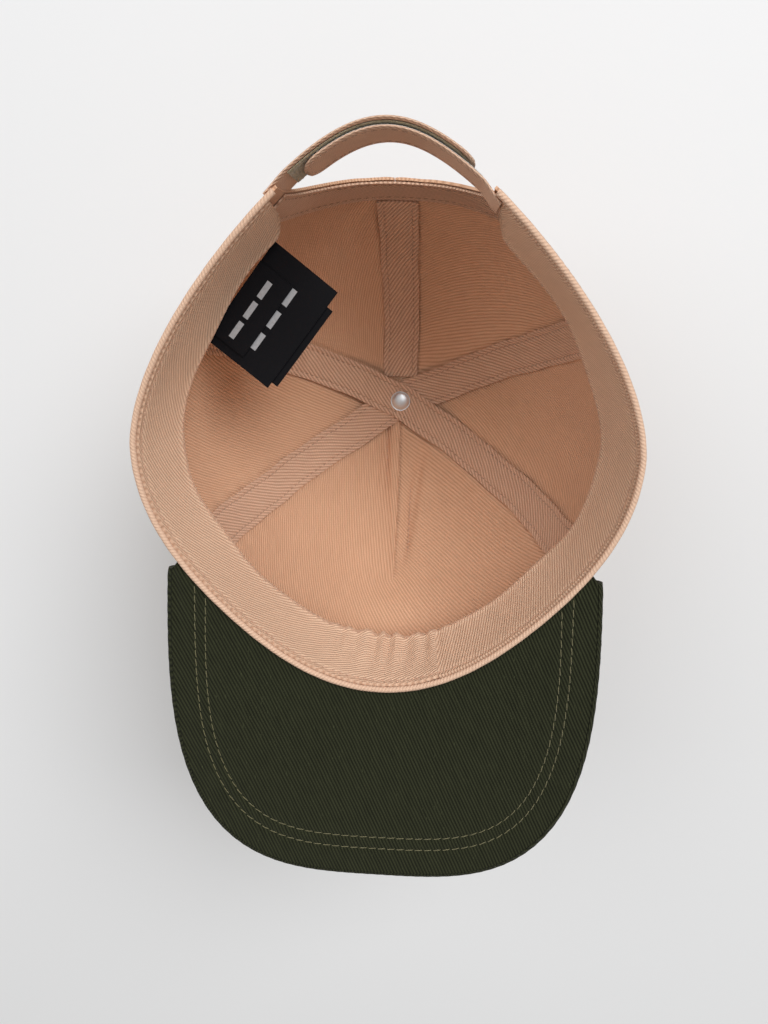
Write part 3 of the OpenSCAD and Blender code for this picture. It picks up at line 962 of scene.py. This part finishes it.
def sweatband():
    span = ARCH_AT - 3
    join = BAND_JOIN + np.array([-0.02, 0.02])
    t = np.sort(np.concatenate([np.linspace(-span, span, 379), join]))[None]
    share = np.linspace(0, 1, 40)[:, None]
    top = 1 - 0.55 * np.clip((np.abs(t) - span + 4) / 4, 0, 1) ** 2
    v = share * top
    t = t + 0 * share
    relief = band_relief(t, v)
    fold = smooth((share - 0.9) * 10)
    outer = band_point(t, v, relief * 0.9 - 0.1 + 0.5 * fold**3)
    inner = band_point(t, v, relief + BAND_T + 0.1 - 0.45 * fold**3 + 0.35 * bell(share - 0.93, 0.04))
    left, right = (lay_flat(band_point(t, v, 0 * t), lean) for lean in WALES["sweatband"])
    cloth = np.where((t > BAND_JOIN)[..., None], left, right)
    sewn("sweatband", (outer, inner), BAND_CLOTH, "band_twill", cloth)
    normal = crown_normal(t, band_turn(t, v))
    rows = [(inner[k, 4:-4], -normal[k, 4:-4]) for k in (3, 36)]
    stitches("band_stitches", rows, PEACH_THREAD, "cap", "band_twill", 2.3, 0.9, 0.2, 0.1)


sweatband()


# %% Topstitching outside the crown
def outside_rows():
    """Two rows along each seam and the dart, and two along the rim."""
    rows = []
    seams = [(seam, 4) for seam in (FRONT_SEAM, -FRONT_SEAM, REAR_SEAM, -REAR_SEAM)]
    for seam, low in seams + [(180, ARCH_TURN + 1), (0, DART_TIP + 2)]:
        p = np.linspace(low, 84, 90)
        for way in (-1, 1):
            t = seam + way * STITCH_IN / round_way(seam + 0 * p, p)
            keep = np.abs(t - seam) < 22
            rows.append((on_crown(t, p, -0.02 + 0 * p)[keep], crown_normal(t, p)[keep]))
    for height in (4.0, 9.0):
        t = np.linspace(-ARCH_AT + 2, ARCH_AT - 2, 500)
        p = turn_at(t, rim_z(t) + height)
        rows.append((on_crown(t, p, 0.05 + 0 * t), crown_normal(t, p)))
    return rows


stitches("crown_stitches", outside_rows(), PEACH_THREAD, "cap", "crown_twill", 2.4, 0.8, 0.22, 0.1)

# %% [markdown]
# ## The button and the rivet
# The button on top is a metal core covered with twill, and its shank passes down to a domed rivet that
# shows inside. Round pieces are a profile turned about an axis, worked out as rings.


# %% Button and rivet
def turned(name, profile, material, sides, ripple, slot, node):
    """A profile of (radius, height) turned about the crown's top. ripple adds small pleats."""
    a = np.radians(360 * np.arange(sides) / sides)
    r, z = profile[:, :1], profile[:, 1:]
    r = r * (1 + ripple * np.sin(12 * a)[None] * (profile[:, :1] / profile[:, 0].max()) ** 2)
    points = np.stack([r * np.cos(a), TOP_SHIFT + r * np.sin(a), CROWN_HEIGHT + z + 0 * r], -1)
    tube(name, points, material, plan_cloth(points, WALES["button"]), slot, node)


def button_cover():
    s = np.linspace(0, 90, 16)
    outside = np.stack([7.5 * cos_of(s), 0.3 + 4.3 * sin_of(s)], 1)
    outside[-1, 0] = 0.05
    under = np.array([[0.05, 3.3], [3.0, 3.0], [5.4, 1.8], [6.3, 0.7], [6.6, 0.32], [7.1, 0.2]])
    profile = np.concatenate([under, outside])
    turned("button_cover_cloth", profile, PANEL_CLOTH, 60, 0.012, "crown_twill", "button_cover")


def rivet():
    """The rivet's cap: a shallow dome with a rolled edge, on a shank."""
    foot = -(CLOTH + GAP + 3 * (TAPE_T + GAP) + 0.2)
    s = np.linspace(90, 0, 16)
    dome = np.stack([4.3 * cos_of(s), foot - 0.35 - 1.6 * sin_of(s) ** 1.2], 1)
    dome[0, 0] = 0.05
    edge = np.array([[4.62, foot - 0.42], [4.72, foot - 0.25], [4.6, foot - 0.05], [4.3, foot]])
    shank = np.array([[1.5, foot], [1.5, 1.4], [0.05, 1.4]])
    profile = np.concatenate([dome, edge, shank])
    turned("rivet_metal_cap", profile, RIVET_METAL, 64, 0.0, "rivet_metal", "inner_rivet")


button_cover()
rivet()

# %% [markdown]
# ## The visor
# A stiff board lies between two covers of dark twill. The top cover is turned down over the board's edge
# into a rolled lip, which hides the edge of the under cover. The covers are surfaces ruled between two
# curves, the line of the rim and the outer edge, with a slight crown so that they catch the light.

# %% Visor sizes and surface
VISOR_TURN = 63.0
VISOR_L = 73.0
VISOR_FLARE = 6.4
VISOR_WAIST = 3.5
VISOR_DROP = 11.0
VISOR_ROUND = 3.3
CORNER_ROUND = 1.6
BASE_GAP = 0.4
BOARD_T = 1.6
COVER_T = 0.8
LIP_W = 1.8
SINK = 0.5
CORNER = crown(VISOR_TURN, 0.0)
TIP_Y = -(FRONT_REACH + VISOR_L)
FACE = COVER_T + 0.2 - SINK + BOARD_T + 0.2 + COVER_T


def visor_base(b):
    """The visor's base, along the outside of the rim."""
    t = VISOR_TURN * b / 90
    return rim_point(t) + level_out(t) * BASE_GAP


def visor_edge(b, inset):
    """The outer edge: half a superellipse, a little narrower towards the crown and rounded off there."""
    r = (np.abs(sin_of(b)) ** VISOR_ROUND + np.abs(cos_of(b)) ** VISOR_ROUND) ** (-1 / VISOR_ROUND)
    forward = r * cos_of(b)
    half = CORNER[0] + VISOR_FLARE - VISOR_WAIST * (1 - forward) ** 2 - inset
    half = half - CORNER_ROUND * (1 - np.clip(forward / 0.06, 0, 1)) ** 2
    y = CORNER[1] + (TIP_Y + inset - CORNER[1]) * forward
    z = rim_z(VISOR_TURN) * (1 - forward) + (FRONT_LIFT - VISOR_DROP) * forward
    return np.stack([half * r * sin_of(b), y, z], -1)


def visor_point(b, v, inset, z):
    """v of the way from the base to the edge, raised by z. The sheet swells a little half way out and
    has faint long waves."""
    base, edge = visor_base(b), visor_edge(b, inset)
    point = base + (edge - base) * v[..., None]
    a = np.radians(b)
    wave = 0.25 * np.sin(3 * a + 4 * v) + 0.15 * np.sin(7 * a - 3 * v + 1)
    lift = z + wave * np.sin(np.pi * np.clip(v, 0, 1))
    return point + upright(lift)


STITCH_ROWS = (11.5, 16.0)


def visor_reach(b, inset):
    """How far the base lies from the edge, square to the edge."""
    across = unit(visor_edge(b, 0.0) - visor_base(b))
    along = unit(visor_edge(b + 0.2, 0.0) - visor_edge(b - 0.2, 0.0))
    facing = np.linalg.norm(np.cross(across, along), axis=-1)
    return np.linalg.norm(visor_edge(b, inset) - visor_base(b), axis=-1) * facing


def groove(b, v, inset):
    """Depth of the grooves that the two rows of stitches draw, in mm."""
    from_edge = inset + (1 - v) * visor_reach(b, inset)
    return sum(0.28 * bell(from_edge - row, 0.9) for row in STITCH_ROWS)


# %% Visor covers
SPAN = 88.0
b_row = np.linspace(-SPAN, SPAN, 240)
v_rows = np.linspace(1, 0, 90)


def visor_under_cover():
    b, v = over_grid(b_row, v_rows)
    inset = LIP_W + 0.2
    draw = groove(b, v, inset)
    top = visor_point(b, v, inset, COVER_T - SINK + 0 * b)
    bottom = visor_point(b, v, inset, -SINK + draw)
    cloth = plan_cloth(bottom, WALES["visor"])
    grids = (top, bottom)
    sewn("visor_under", grids, VISOR_CLOTH, "visor_twill", cloth, "visor_under_cover")


def visor_top_cover():
    """The plate runs from the base to the edge, and the lip is half an ellipse round the edge."""
    b, turns = over_grid(b_row, np.linspace(-90, 90, 15))
    low, high = -SINK - 0.2, FACE
    middle, half = (low + high) / 2, (high - low) / 2
    rib = 1 + 0.035 * np.sin(b * 6.2 + turns * 0.05)
    inset = LIP_W * (1 - cos_of(turns) * rib)
    roll = visor_edge(b, inset) + upright(middle + half * sin_of(turns))
    b_plate, v_plate = over_grid(b_row, v_rows[1:])
    plate = visor_point(b_plate, v_plate, LIP_W, FACE - groove(b_plate, v_plate, LIP_W))
    outer = np.concatenate([roll, plate])
    wall_z = np.linspace(low + 0.15, FACE - COVER_T, 15)[:, None]
    wall = visor_edge(b, LIP_W + 0.05) + upright(wall_z + 0 * b)
    under = visor_point(b_plate, v_plate, LIP_W + 0.05, FACE - COVER_T + 0 * b_plate)
    inner = np.concatenate([wall, under])
    reach = np.concatenate([lengths(roll, 0)[-1] - lengths(roll, 0), 0 * v_plate])
    edge_dir = unit(visor_edge(b_row, 0.0) - visor_base(b_row))
    place = np.concatenate([visor_edge(b, LIP_W), plate]) + reach[..., None] * edge_dir
    cloth = plan_cloth(place, -WALES["visor"])
    grids = (outer, inner)
    sewn("visor_top", grids, VISOR_CLOTH, "visor_twill", cloth, "visor_top_cover")


def visor_rows(z, up, inset):
    """Two lines of points at the stitch rows' distance from the edge, where they fit on the visor."""
    rows = []
    b = np.linspace(-84, 84, 500)
    for row in STITCH_ROWS:
        v = 1 - (row - inset) / visor_reach(b, inset)
        keep = v > 0.03
        path = visor_point(b[keep], v[keep], inset, z + 0 * b[keep])
        rows.append((path, np.tile([0, 0, up], (keep.sum(), 1))))
    return rows


visor_under_cover()
visor_top_cover()
all_rows = visor_rows(-SINK + 0.16, -1.0, LIP_W + 0.2) + visor_rows(FACE - 0.16, 1.0, LIP_W)
stitches("visor_stitches", all_rows, KHAKI_THREAD, "cap", "visor_twill", 2.9, 0.6, 0.17, 0.1)

# %% [markdown]
# ## The closure
# Two straps meet across the arch. The outer one carries the brushed loops on its inside, and the inner
# one the hooks on its outside. Each strap is sewn to the crown at its root, so it follows the cap there
# and its own line further on, with a soft bend between.

# %% Straps
ROOT_TURN = 1.5
STRAP_H = 22.0
STRAP_T = 0.9
PILE_T = 0.6
HOOK_RISE = 0.25
HOOK_STEP = 1.55
PILE_IN = 1.6
SHORT = 5.0
LEFT_ROOT = ARCH_AT + ROOT_TURN
RIGHT_ROOT = 360 - LEFT_ROOT
STRAP_BACK = 4.5
BLEND_TURNS = (-1.5, 2.0)
HEM = 2.6
HOOK_DEPTH = -0.8
HOOK_FACE = HOOK_DEPTH + 0.1 + PILE_T
LOOP_FACE = HOOK_FACE + GAP


def strap_point(t, f, depth, low, high, shrink):
    """A point on a strap: along the rim at a depth, and f of the way up it."""
    middle, half = (low + high) / 2, (high - low) / 2
    z = middle + half * (2 * f - 1) * shrink
    return rim_point(t) + level_out(t) * depth[..., None] + upright(z)


def rounded(t, end):
    """How much of its full width a strap keeps near its round end, over the last five degrees."""
    d = np.clip(np.abs(t - end) / 5, 0, 1)
    return np.sqrt(1 - (1 - d) ** 2) * 0.72 + 0.28


def strap_spot(t, depth):
    """A point on a strap's middle line, in metres."""
    t = np.array([float(t)])
    point = strap_point(t, 0 * t + 0.5, 0 * t + depth, 0, STRAP_H, 1.0)[0]
    return tuple(float(c) * MM for c in point)


def strap_cloth(body, root, end, depth, root_depth):
    """A strap of folded twill with a raised, stitched border and a thin rounded edge. It starts behind
    its root, where it lies against the crown."""
    way = np.sign(end - root)
    start = root - STRAP_BACK * way
    columns = np.sort(np.append(np.linspace(start, end, 110), end))
    t, f = over_grid(columns, np.linspace(0, 1, 25))
    near = smooth(1 - np.abs(t - start) / (STRAP_BACK + 2))
    shrink = rounded(t, end)
    edge = np.minimum(f, 1 - f) * STRAP_H * shrink
    edge = np.minimum(edge, np.abs(t - end) * 1.4)
    border = 0.18 * bell(edge - 1.3, 0.9) - 0.16 * bell(edge - HEM, 0.5)
    thin = 0.38 * (1 - smooth(edge / 0.9))
    wave = 0.12 * np.sin(np.radians(t * 14)) * np.sin(np.pi * f)
    face = depth + (root_depth - depth) * near + wave * (1 - near)
    outer = strap_point(t, f, face + border * 0.6 - thin, 0, STRAP_H, shrink)
    inner = strap_point(t, f, face - STRAP_T - border * 0.6 + thin, 0, STRAP_H, shrink)
    cloth = lay_flat(outer, WALES["strap"])
    piece = shell(body + "_cloth", outer, inner, STRAP_CLOTH, cloth, slot="strap_twill")
    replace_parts(piece, body)
    fixed, free = (strap_spot(root + turn * way, 1.2 * way) for turn in BLEND_TURNS)
    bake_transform(piece)


loop_depth = LOOP_FACE + PILE_T + 0.1 + STRAP_T
loop_end, hook_end = RIGHT_ROOT - SHORT, LEFT_ROOT + SHORT
strap_cloth("loop_strap", LEFT_ROOT, loop_end, loop_depth, root_depth=1.15)
strap_cloth("hook_strap", RIGHT_ROOT, hook_end, HOOK_DEPTH, root_depth=-2.2)


# %% Stitches round the straps
def strap_rows(root, end, depth, way):
    """A line up one edge of a strap, round its end and back along the other edge."""
    turn = end - np.sign(end - root) * 1.6
    t = root + (turn - root) * np.linspace(0, 1, 120)
    z = np.linspace(HEM, STRAP_H - HEM, 30)
    lines = [(t, 0 * t + edge) for edge in (HEM, STRAP_H - HEM)] + [(0 * z + turn, z)]
    rows = []
    for t, z in lines:
        path = strap_point(t, z / STRAP_H, 0 * t + depth, 0, STRAP_H, rounded(t, end))
        rows.append((path, way * level_out(t)))
    return rows


loop_rows = strap_rows(LEFT_ROOT + 2.2, loop_end, loop_depth - 0.05, 1.0)
hook_start = RIGHT_ROOT - 2.2
hook_rows = strap_rows(hook_start, hook_end, HOOK_DEPTH - STRAP_T + 0.05, -1.0)
for body, rows in (("loop_strap", loop_rows), ("hook_strap", hook_rows)):
    stitches(body + "_stitches", rows, PEACH_THREAD, body, "strap_twill", 2.2, 0.8, 0.2)


# %% Loop pile and hooks
def fastener(name, node, root, end, depth, thick, material, slot, rough):
    """The tape of loops or hooks on a strap. rough is how unevenly its inner face stands, in mm."""
    columns = np.linspace(min(root, end), max(root, end), 160)
    t, f = over_grid(columns, np.linspace(0, 1, 40))
    shrink = rounded(t, end)
    tufts = rng.normal(0, rough, t.shape)
    edge = np.minimum(f, 1 - f) * 20 * shrink
    thin = thick * 0.4 * (1 - smooth(edge / 0.7))
    low, high = PILE_IN, STRAP_H - PILE_IN
    outer = strap_point(t, f, depth - thin, low, high, shrink)
    inner = strap_point(t, f, depth - thick + thin - tufts, low, high, shrink)
    body = node.replace("tape", "strap")
    piece = shell(name, outer, inner, material, lay_flat(outer, 0.0), body=body, slot=slot)
    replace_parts(piece, node)


rng = np.random.default_rng(7)
pile = (LOOP_FACE + PILE_T, PILE_T, LOOP_PILE, "loop_pile", 0.07)
fastener("loop_pile_tape", "loop_tape", LEFT_ROOT + 2, loop_end - 1.5, *pile)
nylon = (HOOK_FACE - HOOK_RISE, PILE_T - HOOK_RISE, HOOK_NYLON, "hook_nylon", 0.0)
fastener("hook_tape_base", "hook_tape", RIGHT_ROOT - 2, hook_end + 1.5, *nylon)


def hooks():
    """Small bent hooks in staggered rows: a three-sided stem that leans over at its tip."""
    t_one = np.arange(hook_end + 3, hook_start - 1, 1.15)
    z_one = np.arange(PILE_IN + 1.2, STRAP_H - PILE_IN - 0.8, HOOK_STEP)
    t, z = (g.ravel() for g in np.meshgrid(t_one, z_one))
    t = t + 0.55 * (np.round((z - z_one[0]) / HOOK_STEP) % 2)
    keep = np.abs(z - STRAP_H / 2) < 8.4 * rounded(t, hook_end)
    t, z = t[keep], z[keep]
    out = level_out(t)
    along = unit(np.cross([0.0, 0.0, 1.0], out))
    foot = rim_point(t) + out * (HOOK_FACE - 0.27) + upright(z)
    rise, bend, thick = np.array(
        [[0.0, 0.16, 0.27, 0.28], [0.0, 0.02, 0.16, 0.34], [0.13, 0.12, 0.11, 0.07]]
    )[:, None, :, None]
    a = np.radians(120 * np.arange(3))
    flip = np.where(rng.random(len(t)) > 0.5, 1.0, -1.0)[:, None, None]
    ring_along = flip * bend + thick * np.cos(a)
    steps = (rise + 0 * ring_along, ring_along, thick * np.sin(a) + 0 * ring_along)
    points = copy_points(foot, (out, along, np.array([[0.0, 0.0, 1.0]])), steps)
    faces = repeat_faces(ring_faces(4, 3), 12, len(t))
    print("hooks:", len(t))
    put_mesh("hook_tape_hooks", points.reshape(-1, 3), faces, HOOK_NYLON, "hook_strap", "hook_nylon")


hooks()

# %% [markdown]
# ## The labels
# Three woven satin labels hang from one seam at the wearer's left. They are plain flaps, so each is one
# sheet with the same slight droop, which keeps the air between them even. Their woven marks are plain
# bars.

# %% Labels
LABEL_FROM, LABEL_TO = 112.0, 139.0
seam_ends = band_point(np.array([LABEL_FROM, LABEL_TO]), np.array([1.0, 1.0]), np.full(2, BAND_T + 0.6))
LABEL_Z = float(seam_ends[:, 2].max()) + 0.6
run_dir = unit((seam_ends[1] - seam_ends[0]) * [1, 1, 0])
in_dir = np.cross([0, 0, 1.0], run_dir)
LABEL_T = 0.4
LABEL_STEP = 0.8
FACE_IN = 0.16
SEWN = 2.6
BAR_GRID = (4, 8)


def label_point(along, inward, level, lift):
    """A point on a label: along the seam, inwards from it, with a droop that all the labels share."""
    droop = -0.9 * (np.maximum(inward, 0) / 28) ** 2 + 0.35 * np.sin(along / 9.0) * smooth(inward / 20)
    z = LABEL_Z + level * LABEL_STEP + LABEL_T / 2 + droop + lift
    start = np.array([seam_ends[0, 0], seam_ends[0, 1], 0])
    return start + along[..., None] * run_dir + inward[..., None] * in_dir + upright(z)


def label(name, start, long, wide, level, marks):
    """A flap whose sewn edge lies along the seam, and its raised bars, which lie on it."""
    along, inward = over_grid(np.linspace(start, start + long, 60), np.linspace(-SEWN, wide + 0.4, 40))
    faces = [label_point(along, inward, level, lift) for lift in (FACE_IN, -FACE_IN)]
    cloth = np.stack([along, inward], -1)
    piece = shell(name + "_cloth", *faces, LABEL_SATIN, cloth, slot="label_satin")
    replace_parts(piece, name)
    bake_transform(piece)
    bars = []
    for a0, a1, y0, y1 in marks:
        rows, columns = BAR_GRID
        a, y = over_grid(np.linspace(start + a0, start + a1, columns), np.linspace(y0, y1, rows))
        bars += [label_point(a, y, level, lift).reshape(-1, 3) for lift in (-0.15, -0.20)]
    if bars:
        points = np.concatenate(bars)
        faces = repeat_faces(shell_faces(*BAR_GRID), 2 * math.prod(BAR_GRID), len(marks))
        put_mesh(name + "_marks", points, faces, MARK_SATIN, name, "label_satin", points[:, :2])


big_bars = [(8 + 10 * k, 15 + 10 * k, 11.0, 14.5) for k in range(3)]
small_bars = [(3 + 9 * k, 10 + 9 * k, 3.6, 5.8) for k in range(3)]
label("size_label", 4.0, 32.0, 12.0, 0, small_bars)
label("brand_label", 0.5, 44.0, 26.0, 1, big_bars)
label("care_label", 3.0, 35.0, 28.5, 2, [])

# %% [markdown]
# ## What stays from the model
# The board and the button's core are true shapes already and hardly show, so they only get a finish.

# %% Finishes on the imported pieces
for node, material, finish in (
    ("visor_board", VISOR_PLASTIC, "visor_plastic"),
    ("button_core", RIVET_METAL, "rivet_metal"),
):
    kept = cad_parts[node]
    kept.data.materials.clear()
    kept.data.materials.append(material)

# %% [markdown]
# ## Stage, light and camera
# The cap is seen from below, so its backdrop lies beyond the crown. A floor under the cap serves the
# views from above. Each sheet of the stage shows only from its own side and only to the camera, and
# blocks no light, so one stage serves every view. The backdrop fades away where it would be seen almost
# edge on. The colours are shown with the plain view transform, because a filmic one greys pale cloth.


# %% Stage
STAGE_HALF = 3000.0
FADE = 8.0


def stage_material(name, colour, steep):
    """Pale card that is there only for the camera's rays, only on its front, and only where it is seen at
    an angle whose sine is above steep, where it fades in."""
    material = bpy.data.materials.new(name)
    material.use_nodes = True
    tree = material.node_tree
    tree.nodes.clear()
    out = add(tree, "ShaderNodeOutputMaterial")
    mix = add(tree, "ShaderNodeMixShader")
    clear = add(tree, "ShaderNodeBsdfTransparent")
    card = add(tree, "ShaderNodeBsdfDiffuse")
    card.inputs["Color"].default_value = (*colour, 1)
    ray = camera_ray(tree)
    face = add(tree, "ShaderNodeNewGeometry")
    angle = math_node(tree, "ABSOLUTE", split(tree, face.outputs["Incoming"])[2])
    front = math_node(tree, "SUBTRACT", 1.0, face.outputs["Backfacing"])
    fade = scaled(tree, angle, FADE, -FADE * steep, clamp=True)
    shown = times(tree, front, fade)
    parts = (times(tree, ray, shown), clear.outputs[0], card.outputs[0])
    for place, part in enumerate(parts):
        tree.links.new(part, mix.inputs[place])
    tree.links.new(mix.outputs[0], out.inputs[0])
    return material


def stage_card(name, height, faces_up, colour, steep):
    """A large square card, level, with its front up or down."""
    square = np.array([[-1, -1], [1, -1], [1, 1], [-1, 1]]) * STAGE_HALF
    points = np.column_stack([square, np.full(4, height)])
    order = [[0, 1, 2, 3]] if faces_up else [[3, 2, 1, 0]]
    put_mesh(name, points, np.array(order), stage_material(name, colour, steep))


stage_card("floor", -9.0, True, (0.80, 0.80, 0.80), 0.0)
stage_card("backdrop", 165.0, False, (0.83, 0.84, 0.85), 0.42)


def place_object(data, turn, place):
    """An object of the scene whose three axes are the columns of turn, at a place in metres."""
    thing = bpy.data.objects.new(data.name, data)
    bpy.context.scene.collection.objects.link(thing)
    thing.matrix_world = Matrix([[*turn[i], place[i]] for i in range(3)] + [[0, 0, 0, 1]])
    return thing


# %% World and lamps
def soft_room():
    """A warm even light from all round. The camera itself sees a paler wall than the light it gives."""
    world = bpy.data.worlds.new("soft_room")
    bpy.context.scene.world = world
    world.use_nodes = True
    tree = world.node_tree
    glow = tree.nodes["Background"]
    ray = camera_ray(tree)
    colour = blend_colours(tree, ray, (1.0, 0.965, 0.925), (0.98, 0.985, 0.98))
    tree.links.new(colour, glow.inputs[0])
    tree.links.new(scaled(tree, ray, 0.38, 0.34), glow.inputs[1])


soft_room()


def lamp(name, place, aim, size, power, colour=(1, 1, 1)):
    """A square area light at a place in metres, turned to face its aim."""
    data = bpy.data.lights.new(name, "AREA")
    data.shape = "SQUARE"
    data.size, data.energy, data.color = size, power, colour
    back = unit(np.array(place, float) - np.array(aim, float))
    side = unit(np.cross([0.02, 1.0, 0.01], back))
    turn = np.column_stack([side, np.cross(back, side), back])
    place_object(data, turn, place).visible_camera = False


lamp("key_below", (-0.98, 1.20, -1.75), (0, -0.02, 0.06), 1.4, 44.0, (0.98, 0.99, 1.0))
lamp("fill_below", (1.00, 0.80, -1.50), (0, -0.02, 0.06), 1.4, 11.0, (0.99, 0.99, 1.0))
lamp("key_above", (-0.5, -0.6, 0.9), (0, -0.02, 0.05), 0.8, 9.0, (1.0, 0.985, 0.96))
lamp("fill_above", (0.8, 0.5, 0.7), (0, -0.02, 0.05), 0.9, 5.0, (0.96, 0.98, 1.0))


# %% Camera
def aimed_camera(place, aim, hint, lens):
    """A camera at a place in mm that looks at its aim, with the hint as its rough up direction."""
    data = bpy.data.cameras.new("camera")
    data.lens, data.sensor_width = lens, 36.0
    data.clip_start, data.clip_end = 0.01, 20.0
    forward = unit(np.array(aim) - np.array(place))
    right = unit(np.cross(forward, hint))
    up = np.cross(right, forward)
    turn = np.column_stack([right, up, -forward])
    bpy.context.scene.camera = place_object(data, turn, [c * MM for c in place])
    print("camera, mm:", [round(c, 1) for c in place], "lens", lens)


bpy.context.scene.view_settings.view_transform = "Standard"
aimed_camera((-18.1, 48.0, -256.4), (7.6, -53.2, 122.0), (0.013, 1.0, 0.0), 27.03)
